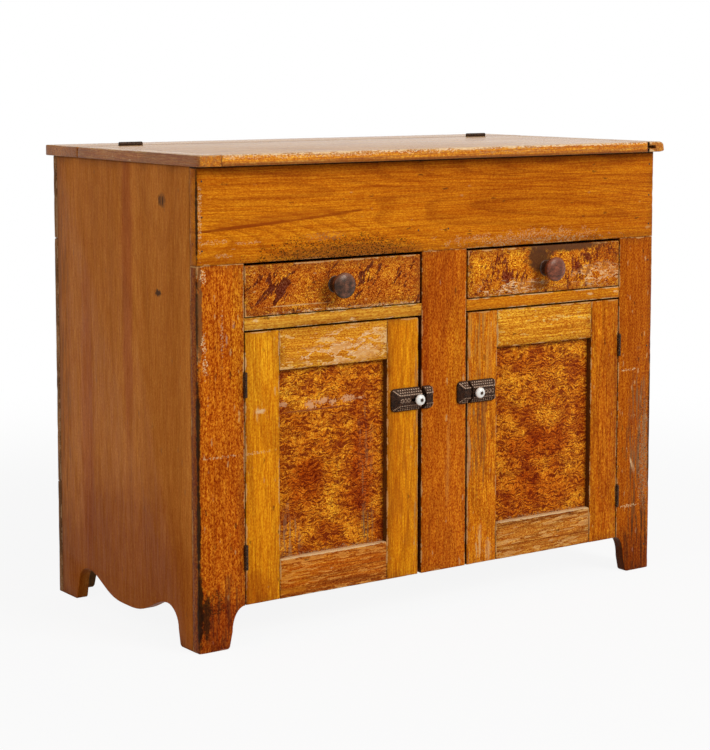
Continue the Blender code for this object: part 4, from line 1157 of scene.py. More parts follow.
RIGHT_ORANGE = replace(
    STILE_ORANGE, name="right_stile_orange", light=(0.455, 0.112, 0.004), dark=(0.35, 0.075, 0.003),
    streaks=0.22, grit=0.5, flank=0.7,
    marks=(
        on_front(0.5, 0.22, 0.036, 0.23, (0.1, 0.04, 0.015), 0.75, STREAKED, 1.2, 30.0),
        on_front(0.505, 0.3, 0.03, 0.16, (0.28, 0.14, 0.06), 0.5, STREAKED, 1.6, 50.0),
        on_front(0.497, 0.045, 0.05, 0.08, (0.07, 0.022, 0.007), 0.75, STREAKED, 1.2, 40.0),
        on_front(0.518, 0.25, 0.024, 0.18, (0.06, 0.03, 0.015), 0.75, SPECKLED, 1.4, 40.0),
        on_front(0.52, 0.23, 0.022, 0.16, (0.5, 0.29, 0.14), 0.55, SPECKLED, 1.4, 55.0),
        on_front(0.484, 0.226, 0.0026, 0.036, CREAM, 0.75, STREAKED, 1.2, 120.0, 0.38),
        on_front(0.492, 0.215, 0.002, 0.024, CREAM, 0.6, STREAKED, 1.2, 120.0, 0.38),
        on_front(0.475, 0.415, 0.04, 0.004, CREAM, 0.8, SPECKLED, 1.4, 150.0),
        on_front(0.48, 0.135, 0.04, 0.005, CREAM, 0.8, SPECKLED, 1.4, 150.0),
        on_front(0.533, 0.3, 0.005, 0.2, (0.03, 0.012, 0.005), 0.8, STAIN, 1.4, 60.0),
        on_front(0.495, 0.02, 0.08, 0.085, (0.62, 0.52, 0.8), 1.0, TINT, 1.2, 40.0),
        on_front(0.52, 0.09, 0.016, 0.09, SOOT_AND_SHADOW, 0.5, STREAKED, 1.4, 50.0),
    ),
)
RAIL_GOLD = Varnish(
    "drawer_rail_gold", Grain.ALONG_X, light=(0.72, 0.335, 0.032), dark=(0.55, 0.205, 0.018),
    ring=(0.3, 0.07, 0.003), flank=0.7, streaks=0.25, scuffs=0.14, worn=CREAM, worn_width=0.0014,
    nicks=0.12, dents=0.12, grit=0.3,
)
RAIL_AMBER = replace(
    RAIL_GOLD, name="drawer_rail_amber", light=(0.66, 0.225, 0.008), dark=(0.52, 0.15, 0.006),
)
DOOR_GOLD = Varnish(
    "door_gold", Grain.ALONG_Z, light=(0.76, 0.285, 0.006), dark=(0.58, 0.17, 0.004),
    ring=(0.28, 0.052, 0.002), ring_strength=0.26, flank=0.85, streaks=0.27, scuffs=0.06, grit=0.2,
    nicks=0.1,
    marks=(
        on_front(-0.415, 0.56, 0.06, 0.17, (1.06, 1.2, 1.6), 1.0, TINT, 1.6, 18.0),
        on_front(-0.405, 0.415, 0.018, 0.02, (0.62, 0.36, 0.15), 0.4, STREAKED, 1.6, 90.0),
        on_front(-0.408, 0.418, 0.012, 0.006, CREAM, 0.7, STAIN, 2.2, 110.0),
        on_front(-0.43, 0.345, 0.07, 0.004, CREAM, 0.5, SPECKLED, 1.6, 150.0),
        on_front(-0.42, 0.09, 0.04, 0.06, (0.72, 0.58, 0.7), 1.0, TINT, 1.2, 40.0),
        on_front(-0.062, 0.3, 0.007, 0.26, (0.3, 0.16, 0.07), 0.7, STREAKED, 1.3, 50.0),
        on_front(-0.1, 0.25, 0.04, 0.15, (0.36, 0.085, 0.005), 0.5, STREAKED, 1.3, 30.0),
    ),
)
DOOR_AMBER = Varnish(
    "door_amber", Grain.ALONG_Z, light=(0.6, 0.18, 0.006), dark=(0.46, 0.112, 0.004),
    ring=(0.2, 0.034, 0.002), ring_strength=0.26, flank=0.85, streaks=0.34, scuffs=0.06, grit=0.42,
    nicks=0.1,
    marks=(
        on_front(0.09, 0.115, 0.012, 0.04, TAN, 0.7, STREAKED, 2.4, 130.0),
        on_front(0.112, 0.095, 0.01, 0.03, TAN, 0.6, STREAKED, 2.4, 130.0),
        on_front(0.09, 0.33, 0.03, 0.16, (0.12, 0.05, 0.02), 0.6, STREAKED, 1.2, 40.0),
        on_front(0.098, 0.53, 0.06, 0.12, (0.6, 0.29, 0.05), 0.4, STREAKED, 1.8, 22.0),
        on_front(0.085, 0.53, 0.024, 0.04, (0.22, 0.1, 0.03), 0.6, STREAKED, 1.2, 60.0),
        on_front(0.064, 0.3, 0.006, 0.26, (0.4, 0.24, 0.12), 0.7, STREAKED, 1.3, 50.0),
        on_front(0.412, 0.3, 0.04, 0.32, (0.91, 0.84, 0.9), 1.0, TINT, 1.0, 16.0),
    ),
)
RAIL_FLAKED = Varnish(
    "door_rail_flaked", Grain.ALONG_X, light=(0.8, 0.36, 0.026), dark=(0.61, 0.222, 0.014),
    ring=(0.34, 0.085, 0.005), streaks=0.26, flake=(0.66, 0.36, 0.13), flake_amount=0.24,
    flake_scale=95.0, flake_strength=0.75, flank=0.85, grit=0.45, nicks=0.1, worn=TAN,
    marks=(
        on_front(-0.245, 0.507, 0.11, 0.024, (0.7, 0.36, 0.13), 0.7, FLAKED, 0.8, 48.0),
        on_front(-0.2, 0.53, 0.09, 0.03, (0.62, 0.28, 0.06), 0.5, FLAKED, 1.0, 60.0),
    ),
)
RAIL_PALE = Varnish(
    "door_rail_pale", Grain.ALONG_X, light=(0.75, 0.325, 0.021), dark=(0.56, 0.195, 0.012),
    ring=(0.34, 0.085, 0.005), flake=(0.74, 0.42, 0.12), flake_amount=0.17, flake_scale=190.0,
    flake_strength=0.35, flank=0.85, grit=0.45, nicks=0.12, worn=TAN,
)
RAIL_CRAZED = Varnish(
    "door_rail_crazed", Grain.ALONG_X, light=(0.55, 0.152, 0.01), dark=(0.38, 0.084, 0.006),
    ring=(0.15, 0.032, 0.006), streaks=0.4, scuffs=0.24, grit=0.5, flake=(0.6, 0.245, 0.045),
    flake_amount=0.26, flake_scale=230.0, flake_strength=0.5, flake_stretch=0.15, flank=0.85, nicks=0.14,
    dents=0.14, worn=TAN,
    marks=(
        on_front(-0.245, 0.1455, 0.16, 0.0028, CREAM, 0.8, STAIN, 1.8, 80.0),
        on_front(0.255, 0.1455, 0.16, 0.0028, CREAM, 0.8, STAIN, 1.8, 80.0),
        on_front(-0.34, 0.1, 0.06, 0.03, (0.62, 0.22, 0.01), 0.5, STREAKED, 1.4, 40.0),
    ),
)
RAIL_SCOURED = replace(
    RAIL_CRAZED, name="door_rail_scoured", light=(0.58, 0.22, 0.028), dark=(0.4, 0.12, 0.014),
    flake=(0.64, 0.32, 0.1),
)
PANEL_BURL = BurlPaint(
    "panel_burl",
    marks=(
        *(
            on_panel(x, z, wide, tall, colour, 1.0, TINT, 1.6, 40.0)
            for x, z, wide, tall, colour in (
                (-0.18, 0.29, 0.04, 0.11, (0.74, 0.48, 0.5)),
                (-0.31, 0.28, 0.045, 0.06, (0.78, 0.54, 0.5)),
                (-0.245, 0.28, 0.024, 0.13, (1.08, 1.22, 1.2)),
                (-0.315, 0.455, 0.07, 0.05, (1.06, 1.18, 1.2)),
                (0.25, 0.285, 0.12, 0.036, (0.78, 0.54, 0.5)),
                (0.24, 0.205, 0.11, 0.046, (0.82, 0.6, 0.5)),
                (0.305, 0.43, 0.036, 0.08, (1.08, 1.22, 1.2)),
                (0.175, 0.385, 0.034, 0.04, (1.06, 1.18, 1.2)),
            )
        ),
        on_panel(-0.29, 0.408, 0.1, 0.0022, (0.2, 0.045, 0.02), 0.7, STAIN, 1.6, 90.0),
        *(
            on_panel(x, z, wide, tall, (0.62, 0.31, 0.15), 0.85, STAIN, 3.6, 210.0)
            for x, z, wide, tall in (
                (-0.351, 0.424, 0.011, 0.006),
                (-0.291, 0.418, 0.012, 0.009),
                (-0.265, 0.422, 0.015, 0.006),
                (-0.243, 0.418, 0.008, 0.007),
                (-0.209, 0.421, 0.016, 0.007),
                (-0.181, 0.42, 0.008, 0.003),
            )
        ),
        on_panel(-0.166, 0.184, 0.02, 0.046, (0.24, 0.115, 0.042), 0.75, STREAKED, 1.6, 60.0),
        on_panel(-0.166, 0.182, 0.018, 0.036, (0.88, 1.0, 1.2), 1.0, TINT, 1.6, 60.0),
        on_panel(-0.34, 0.18, 0.034, 0.065, (0.34, 0.17, 0.075), 0.75, STREAKED, 1.6, 60.0),
        on_panel(-0.17, 0.32, 0.02, 0.12, (0.3, 0.13, 0.05), 0.55, STREAKED, 1.6, 60.0),
        on_panel(-0.25, 0.145, 0.2, 0.008, (0.4, 0.22, 0.1), 0.7, SPECKLED, 1.6, 60.0),
        on_panel(0.255, 0.145, 0.2, 0.008, (0.4, 0.22, 0.1), 0.7, SPECKLED, 1.6, 60.0),
    ),
)
LEFT_FEATHER = FeatherPaint(
    "left_drawer_feather", lean=0.95, amount=-0.14, scale=64.0, gold=(0.6, 0.216, 0.014),
    amber=(0.38, 0.09, 0.008),
    flames=(
        Flame(-0.397, 0.622, 0.038, 0.008, 0.72, 0.27),
        Flame(-0.364, 0.624, 0.038, 0.0085, 0.9, 0.29),
        Flame(-0.35, 0.645, 0.04, 0.012, 0.7, 0.3),
        Flame(-0.374, 0.64, 0.05, 0.02, 0.6, 0.19),
        Flame(-0.415, 0.65, 0.036, 0.012, 0.7, 0.15),
        Flame(-0.318, 0.6, 0.034, 0.012, 0.7, 0.2),
        Flame(-0.295, 0.64, 0.05, 0.016, 0.6, 0.14),
        Flame(-0.168, 0.65, 0.056, 0.019, 0.5, 0.24),
        Flame(-0.19, 0.622, 0.04, 0.013, 0.6, 0.17),
        Flame(-0.105, 0.637, 0.036, 0.015, 1.1, 0.15),
    ),
    marks=(
        on_front(-0.275, 0.625, 0.052, 0.034, (0.15, 0.036, 0.007), 0.6, SPECKLED, 1.0, 50.0),
        on_front(-0.33, 0.602, 0.09, 0.0016, (0.62, 0.34, 0.13), 0.8, STAIN, 1.6, 90.0),
        on_front(-0.22, 0.589, 0.22, 0.005, (0.6, 0.3, 0.09), 0.35, FLAKED, 1.6, 90.0),
        # Painted shadow of the gap below the drawer, along its bottom edge.
        on_front(-0.245, 0.5862, 0.6, 0.0026, SOOT_AND_SHADOW, 0.8, STAIN, 0.8, 60.0),
    ),
)
RIGHT_FEATHER = FeatherPaint(
    "right_drawer_feather", lean=1.45, amount=-0.16, scale=130.0, gold=(0.68, 0.265, 0.014),
    amber=(0.46, 0.13, 0.009), plum=(0.125, 0.016, 0.009),
    flames=(
        Flame(0.108, 0.63, 0.02, 0.044, 0.0, 0.2),
        Flame(0.14, 0.638, 0.024, 0.05, 0.0, 0.23),
        Flame(0.178, 0.616, 0.044, 0.032, 0.0, 0.21),
        Flame(0.322, 0.622, 0.024, 0.04, 0.0, 0.21),
        Flame(0.352, 0.634, 0.024, 0.044, 0.0, 0.23),
        Flame(0.4, 0.655, 0.044, 0.024, 0.0, 0.18),
    ),
    marks=(
        on_front(0.4, 0.65, 0.07, 0.044, (0.14, 0.034, 0.008), 0.75, SPECKLED, 1.0, 50.0),
        on_front(0.395, 0.614, 0.085, 0.028, (0.62, 0.26, 0.06), 0.4, FLAKED, 1.0, 52.0),
        on_front(0.17, 0.601, 0.13, 0.018, (0.62, 0.26, 0.06), 0.3, FLAKED, 1.4, 60.0),
        on_front(0.41, 0.63, 0.06, 0.07, (0.88, 0.74, 0.62), 1.0, TINT, 1.0, 30.0),
        # Painted shadow of the gap below the drawer, along its bottom edge.
        on_front(0.25, 0.5862, 0.6, 0.0026, SOOT_AND_SHADOW, 0.85, STAIN, 0.8, 60.0),
        on_front(0.3, 0.675, 0.125, 0.014, (0.095, 0.034, 0.014), 0.94, STAIN, 1.2, 70.0),
        on_front(0.236, 0.65, 0.04, 0.03, (0.08, 0.029, 0.012), 0.94, STAIN, 1.3, 70.0),
        on_front(0.23, 0.602, 0.03, 0.012, (0.16, 0.045, 0.012), 0.5, STAIN, 1.6, 60.0),
    ),
)
LID_TAN = Varnish(
    "lid_tan", Grain.ALONG_X, inner_axis=2, light=(0.69, 0.36, 0.114), dark=(0.55, 0.272, 0.08),
    ring=(0.23, 0.1, 0.036), worn=CREAM, worn_width=0.0034, worn_strength=0.85, worn_above=0.865,
    grime_strength=0.2, nicks=0.05, dents=0.06, rough=(0.2, 0.32), specular=0.14, gloss=NEUTRAL,
    bump=0.15, rim=((0.7, 0.245, 0.012), (0.44, 0.12, 0.006)),
    marks=(
        # Painted shade along the lower edge of the lid's front.
        on_lid(0.0, 0.8545, 2.0, 0.0045, (0.16, 0.04, 0.004), 0.6, STAIN, 0.8, 40.0),
        on_lid(0.0, 0.8722, 2.0, 0.0042, (0.86, 0.66, 0.42), 0.9, SPECKLED, 1.6, 60.0, deep=0.005),
        on_lid(-0.25, 0.869, 0.4, 0.006, (0.8, 0.52, 0.26), 0.7, SPECKLED, 2.4, 60.0),
        on_lid(0.15, 0.866, 0.12, 0.008, (0.42, 0.24, 0.12), 0.45, SPECKLED, 2.4, 60.0),
        # Painted shade on the board's end inside the open joint at the right.
        on_lid(0.4972, 0.864, 0.003, 0.02, SOOT_AND_SHADOW, 0.9, STAIN, 0.8, 150.0, deep=0.012),
    ),
)
STRIP_TAN = replace(
    LID_TAN, name="lid_strip_tan", worn=(0.5, 0.24, 0.09), worn_width=0.0018, worn_strength=0.4, marks=()
)
CLEAT_TAN = Varnish(
    "lid_cleat_tan", Grain.ALONG_Y, inner_axis=2, light=(0.7, 0.37, 0.125), dark=(0.56, 0.28, 0.09),
    ring=(0.22, 0.095, 0.034), worn=(0.56, 0.33, 0.15), worn_width=0.0026, worn_strength=0.6,
    worn_above=0.865, grime_strength=0.15, nicks=0.04, dents=0.05, rough=(0.2, 0.32), specular=0.14,
    gloss=NEUTRAL, bump=0.15, rim=((0.66, 0.235, 0.014), (0.44, 0.125, 0.008)),
)
RIGHT_CLEAT = replace(
    CLEAT_TAN, name="lid_right_cleat_gold", worn=CREAM, worn_width=0.005, worn_strength=0.7,
    worn_above=0.0, rim=((0.66, 0.26, 0.02), (0.46, 0.14, 0.01)),
    marks=(
        # Painted shade inside the open groove and slit of the joint.
        on_lid(0.4985, 0.864, 0.0045, 0.02, SOOT_AND_SHADOW, 0.92, STAIN, 0.6, 150.0, deep=0.012),
        on_lid(0.507, 0.8636, 0.014, 0.0036, SOOT_AND_SHADOW, 0.9, STAIN, 0.4, 150.0, deep=0.0085, face=-0.27),
    ),
)


def bare_wood(grain: Grain) -> Varnish:
    """Makes unfinished aged softwood.

    Args:
        grain: the direction of its grain.

    Returns:
        The finish.
    """
    return Varnish(
        f"bare_{grain.name.lower()}", grain, light=BARE_LIGHT, dark=BARE_DARK, ring=BARE_RING,
        inner_axis=None, ring_strength=0.4, worn=(0.52, 0.36, 0.2), worn_strength=0.4, nicks=0.02,
        rough=(0.62, 0.8),
    )


# Upward faces get a little painted highlight and downward faces painted shade.
LATCH_IRON = Iron(
    "latch_iron_brown", skin=(0.012, 0.005, 0.003), rubbed=(0.16, 0.085, 0.05),
    rust=(0.036, 0.012, 0.005), metallic=0.0, rough=(0.4, 0.6), specular=0.12, topped=0.15,
)
# Bright iron for the cast beads: rubbed high points with a painted highlight, lighter still on upward faces.
LATCH_RUBBED_AND_LIT = Iron(
    "latch_iron_rubbed", skin=(0.2, 0.115, 0.07), rubbed=(0.78, 0.58, 0.42), rust=(0.07, 0.032, 0.017),
    metallic=0.1, rough=(0.3, 0.5), specular=0.25, topped=0.5,
)
HINGE_IRON = Iron(
    "hinge_iron_rusty", skin=(0.018, 0.009, 0.005), rubbed=(0.24, 0.14, 0.07), rust=(0.06, 0.022, 0.009),
    metallic=0.1, specular=0.15,
)
NAIL_IRON = Iron(
    "nail_iron_dark", skin=(0.035, 0.022, 0.015), rubbed=(0.1, 0.07, 0.05), rust=(0.08, 0.035, 0.016),
    rough=(0.6, 0.8),
)
KNOB_GREY = TurnedWood("left_knob_dark", dark=(0.024, 0.008, 0.004), rubbed=(0.215, 0.08, 0.042))
KNOB_RED = TurnedWood("right_knob_dark", dark=(0.11, 0.026, 0.012), rubbed=(0.275, 0.078, 0.036))
CHINA_WHITE = Glaze(
    "latch_china_white",
    marks=tuple(
        on_front(x, 0.409, 0.0052, 0.0052, (0.1, 0.06, 0.035), 0.9, STAIN, 0.5, 300.0, face=-0.28)
        for x in (-0.0695, 0.0727)
    ),
)


def seed_of(name: str) -> float:
    """Returns: a number that is a piece's own and the same in every run."""
    return (zlib.crc32(name.encode()) % 997) / 50.0


def linked(name: str, data: bpy.types.ID) -> Piece:
    """Makes an object in the scene.

    Args:
        name: the object's name.
        data: its mesh, lamp or camera.

    Returns:
        The object.
    """
    made = bpy.data.objects.new(name, data)
    bpy.context.scene.collection.objects.link(made)
    return made


def placed(name: str, mesh: Mesh, finish: Finish, body: str, node: str = "") -> Piece:
    """Makes a mesh a piece of the cupboard.

    Args:
        name: the piece's name.
        mesh: its mesh, with its place in it.
        finish: what it is finished in.
        body: the body that it rides on.
        node: the node that it stands for, if it does for one.

    Returns:
        The piece.
    """
    mesh.name = name
    mesh.materials.clear()
    mesh.materials.append(finish.material())
    made = linked(name, mesh)
    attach(made, body)
    if node:
        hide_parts(node)
    LOG.info("%s rides on %s, %d faces", name, body, len(mesh.polygons))
    return made


def mesh_of(shape: Shape, name: str) -> Mesh:
    """Makes a mesh of a bmesh, which is freed.

    Args:
        shape: the bmesh.
        name: the mesh's name.

    Returns:
        The mesh.
    """
    mesh = bpy.data.meshes.new(name)
    shape.to_mesh(mesh)
    shape.free()
    return mesh


def plain_mesh(carrier: Piece) -> Mesh:
    """Returns: what an object's modifiers make of it, as a plain mesh."""
    bpy.context.view_layer.update()
    return bpy.data.meshes.new_from_object(carrier.evaluated_get(bpy.context.evaluated_depsgraph_get()))


def note_board(mesh: Mesh, name: str, low: Point, high: Point) -> None:
    """Keeps a board's corners and seed on its mesh, for the finish to read.

    Args:
        mesh: the board's mesh.
        name: the board's name.
        low: the low corner of its box.
        high: the high corner of its box.
    """
    count = len(mesh.vertices)
    for label, corner in (("board_low", low), ("board_high", high)):
        values = mesh.attributes.new(label, "FLOAT_VECTOR", "POINT")
        values.data.foreach_set("vector", [part for _ in range(count) for part in corner])
    seeds = mesh.attributes.new("board_seed", "FLOAT", "POINT")
    seeds.data.foreach_set("value", [seed_of(name)] * count)


def cut_away(mesh: Mesh, boxes: Sequence[Box]) -> Mesh:
    """Cuts boxes out of a mesh.

    Args:
        mesh: a closed mesh.
        boxes: the low and high corner of each cut.

    Returns:
        The cut mesh.
    """
    base = linked("being_cut", mesh)
    tools = []
    for low, high in boxes:
        shape = bmesh.new()
        bmesh.ops.create_cube(shape, size=1.0)
        bmesh.ops.scale(shape, vec=Vector(high) - Vector(low), verts=shape.verts)
        bmesh.ops.translate(shape, vec=(Vector(low) + Vector(high)) / 2, verts=shape.verts)
        tools.append(linked("cutter", mesh_of(shape, "cutter")))
        step = base.modifiers.new("cut", "BOOLEAN")
        step.operation = "DIFFERENCE"
        step.solver = "EXACT"
        step.object = tools[-1]
    made = plain_mesh(base)
    for used in [base, *tools]:
        bpy.data.objects.remove(used, do_unlink=True)
    return made


def soften(shape: Shape, width: float, segments: int, angle: float = 0.7) -> None:
    """Rounds every edge of a bmesh that is sharper than an angle.

    Args:
        shape: the bmesh.
        width: how far the rounding reaches from the edge.
        segments: the number of faces across it.
        angle: the least angle between an edge's faces, in radians.
    """
    sharp = [edge for edge in shape.edges if len(edge.link_faces) == 2 and edge.calc_face_angle() > angle]
    settings = {"offset_type": "OFFSET", "profile": 0.5, "affect": "EDGES", "clamp_overlap": True}
    bmesh.ops.bevel(shape, geom=sharp, offset=width, segments=segments, **settings)


def shade(mesh: Mesh, angle: float = 0.7, largest: float = 1.0) -> None:
    """Shades a mesh's small faces smooth and leaves its large flat ones plain.

    Args:
        mesh: the mesh.
        angle: edges sharper than this stay sharp.
        largest: the largest face to shade smooth, in square metres.
    """
    mesh.polygons.foreach_set("use_smooth", [face.area < largest for face in mesh.polygons])
    mesh.set_sharp_from_angle(angle=angle)


def circle(radius: float, sides: int, shift: float = 0.0) -> list[Pair]:
    """Lays points round a circle.

    Args:
        radius: the circle's radius; one without any is a single point.
        sides: the number of points.
        shift: how far the first point lies past the axis, as a share of a side.

    Returns:
        The points in order.
    """
    if radius < TINY:
        return [(0.0, 0.0)]
    angles = [2 * math.pi * (i + shift) / sides for i in range(sides)]
    return [(radius * math.cos(angle), radius * math.sin(angle)) for angle in angles]


def arc(centre: Pair, radii: Pair, start: float, end: float, steps: int) -> list[Pair]:
    """Lays points along an elliptical arc.

    Args:
        centre: the ellipse's centre.
        radii: its half axes.
        start: the first point's angle, in degrees.
        end: the last point's angle.
        steps: the number of lengths between them.

    Returns:
        The points in order.
    """
    angles = [math.radians(start + (end - start) * i / steps) for i in range(steps + 1)]
    return [(centre[0] + radii[0] * math.cos(a), centre[1] + radii[1] * math.sin(a)) for a in angles]


def loft(
    shape: Shape,
    rings: Sequence[Sequence[Point]],
    caps: Sequence[int] = (0, -1),
    closed: bool = False,
) -> list[bmesh.types.BMVert]:
    """Adds rings of points to a bmesh and joins each to the next with faces.

    Args:
        shape: the bmesh.
        rings: the rings, of which any may be a single point.
        caps: the numbers of the rings that a face closes.
        closed: whether the last ring joins the first.

    Returns:
        The points of the last ring.
    """
    made = [[shape.verts.new(place) for place in ring] for ring in rings]
    count = max(len(ring) for ring in made)
    for ring in (made[number] for number in caps):
        if len(ring) > 1:
            shape.faces.new(ring)
    for first, second in zip(made, made[1:] + made[:1] if closed else made[1:]):
        for i in range(count):
            pairs = ((first, i), (first, i + 1), (second, i + 1), (second, i))
            shape.faces.new(list(dict.fromkeys(ring[j % count % len(ring)] for ring, j in pairs)))
    bmesh.ops.recalc_face_normals(shape, faces=shape.faces)
    return made[-1]


def turned(name: str, profile: Sequence[Pair], centre: Point, sides: int, bored: bool = False) -> Mesh:
    """Turns a profile about a line that runs out of the front.

    Args:
        name: the mesh's name.
        profile: radius and distance out of the front, from the outer end to the back.
        centre: the point on the front that the line passes through.
        sides: the number of sides.
        bored: whether the profile is closed, which leaves a bore.

    Returns:
        The mesh.
    """
    x, y, z = centre
    rings = [[(x + u, y - out, z + v) for u, v in circle(radius, sides)] for radius, out in profile]
    shape = bmesh.new()
    loft(shape, rings, () if bored else (0, -1), bored)
    mesh = mesh_of(shape, name)
    shade(mesh, 0.8)
    return mesh


@dataclass
class Board:
    """A sawn board with edges worn round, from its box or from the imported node's own shape."""

    name: str
    node: str
    low: Point
    high: Point
    finish: Finish
    body: str = "case"
    slot: str = "face_wood"
    rounding: float = 0.0015
    wear: float = 0.6
    corner_wear: float = 1.0
    worn_edges: tuple[Edge, ...] = ()
    step: float = 0.011
    slow_scale: float = 19.0
    quick_scale: float = 95.0
    deepest: float = 0.36
    shaped: bool = False
    cuts: tuple[Box, ...] = ()

    def build(self) -> Piece:
        """Makes the board.

        Returns:
            The board as a piece.
        """
        shape = self._shaped() if self.shaped else self._sawn()
        soften(shape, self.rounding, 3)
        self._wear_down(shape)
        mesh = mesh_of(shape, self.name)
        if self.cuts:
            mesh = cut_away(mesh, self.cuts)
        shade(mesh, largest=SMALL_FACE)
        note_board(mesh, self.name, self.low, self.high)
        return placed(self.name, mesh, self.finish, self.body, self.node)

    def _sawn(self) -> Shape:
        """Makes a box with points close together along its long edges.

        Returns:
            The box.
        """
        size = Vector(self.high) - Vector(self.low)
        thin = min(range(3), key=lambda axis: size[axis])
        across, up = [axis for axis in range(3) if axis != thin]
        outline = self._outline(across, up)
        rings = []
        for level in (self.low[thin], self.high[thin]):
            places = [{across: first, up: second, thin: level} for first, second in outline]
            rings.append([tuple(place[axis] for axis in range(3)) for place in places])
        shape = bmesh.new()
        loft(shape, rings)
        return shape

    def _outline(self, across: int, up: int) -> list[Pair]:
        """Lays points round the board's broad face.

        Args:
            across: the face's first axis.
            up: its second axis.

        Returns:
            The points in order.
        """
        low, high = (self.low[across], self.low[up]), (self.high[across], self.high[up])
        corners = [low, (high[0], low[1]), high, (low[0], high[1])]
        points = []
        for start, end in zip(corners, corners[1:] + corners[:1]):
            count = max(1, round(math.dist(start, end) / self.step))
            shares = [i / count for i in range(count)]
            points += [tuple(a + (b - a) * share for a, b in zip(start, end)) for share in shares]
        return points

    def _shaped(self) -> Shape:
        """Takes the node's own shape, with its flat faces whole and points along its long edges.

        Returns:
            The shape.
        """
        shape = bmesh.new()
        shape.from_mesh(frame["nodes"][self.node].data)
        bmesh.ops.remove_doubles(shape, verts=shape.verts, dist=1e-5)
        bmesh.ops.dissolve_limit(shape, angle_limit=0.01, verts=shape.verts, edges=shape.edges)
        for edge in [edge for edge in shape.edges if edge.calc_length() > 3 * self.step]:
            count = round(edge.calc_length() / self.step) - 1
            first, second = edge.verts
            for i in range(count):
                edge, first = bmesh.utils.edge_split(edge, first, 1.0 / (count + 1 - i))
                if i < count - 1:
                    edge = next(e for e in first.link_edges if e.other_vert(first) is second)
        return shape

    def _wear_down(self, shape: Shape) -> None:
        """Makes the rounding of the box's edges wider and narrower along their length.

        Args:
            shape: the board with its edges evenly rounded.
        """
        seed = Vector((seed_of(self.name), 3.1, 7.7))
        limit = self.deepest * min(Vector(self.high) - Vector(self.low))
        for vert in shape.verts:
            near = []
            for axis in range(3):
                below = vert.co[axis] - self.low[axis]
                above = self.high[axis] - vert.co[axis]
                if -TINY < min(below, above) <= self.rounding * 1.02:
                    near.append((axis, below <= above, min(below, above)))
            if len(near) < 2:
                continue
            slow = max(0.0, noise.noise(vert.co * self.slow_scale + seed))
            quick = max(0.0, noise.noise(vert.co * self.quick_scale + seed) - 0.12)
            factor = 0.75 + self.wear * (1.6 * slow + 2.4 * quick)
            if self._on_worn_edge(near):
                factor += self.corner_wear * (0.5 + 1.6 * slow + 2.6 * quick)
            factor = min(factor, limit / self.rounding)
            for axis, is_low, away in near:
                worn = away * factor
                vert.co[axis] = self.low[axis] + worn if is_low else self.high[axis] - worn

    def _on_worn_edge(self, near: list[tuple[int, bool, float]]) -> bool:
        """Returns: whether a point near these faces is on one of the board's heavily worn edges."""
        found = {axis: is_low for axis, is_low, _ in near}
        return any(all(found.get(axis) is is_low for axis, is_low in edge) for edge in self.worn_edges)


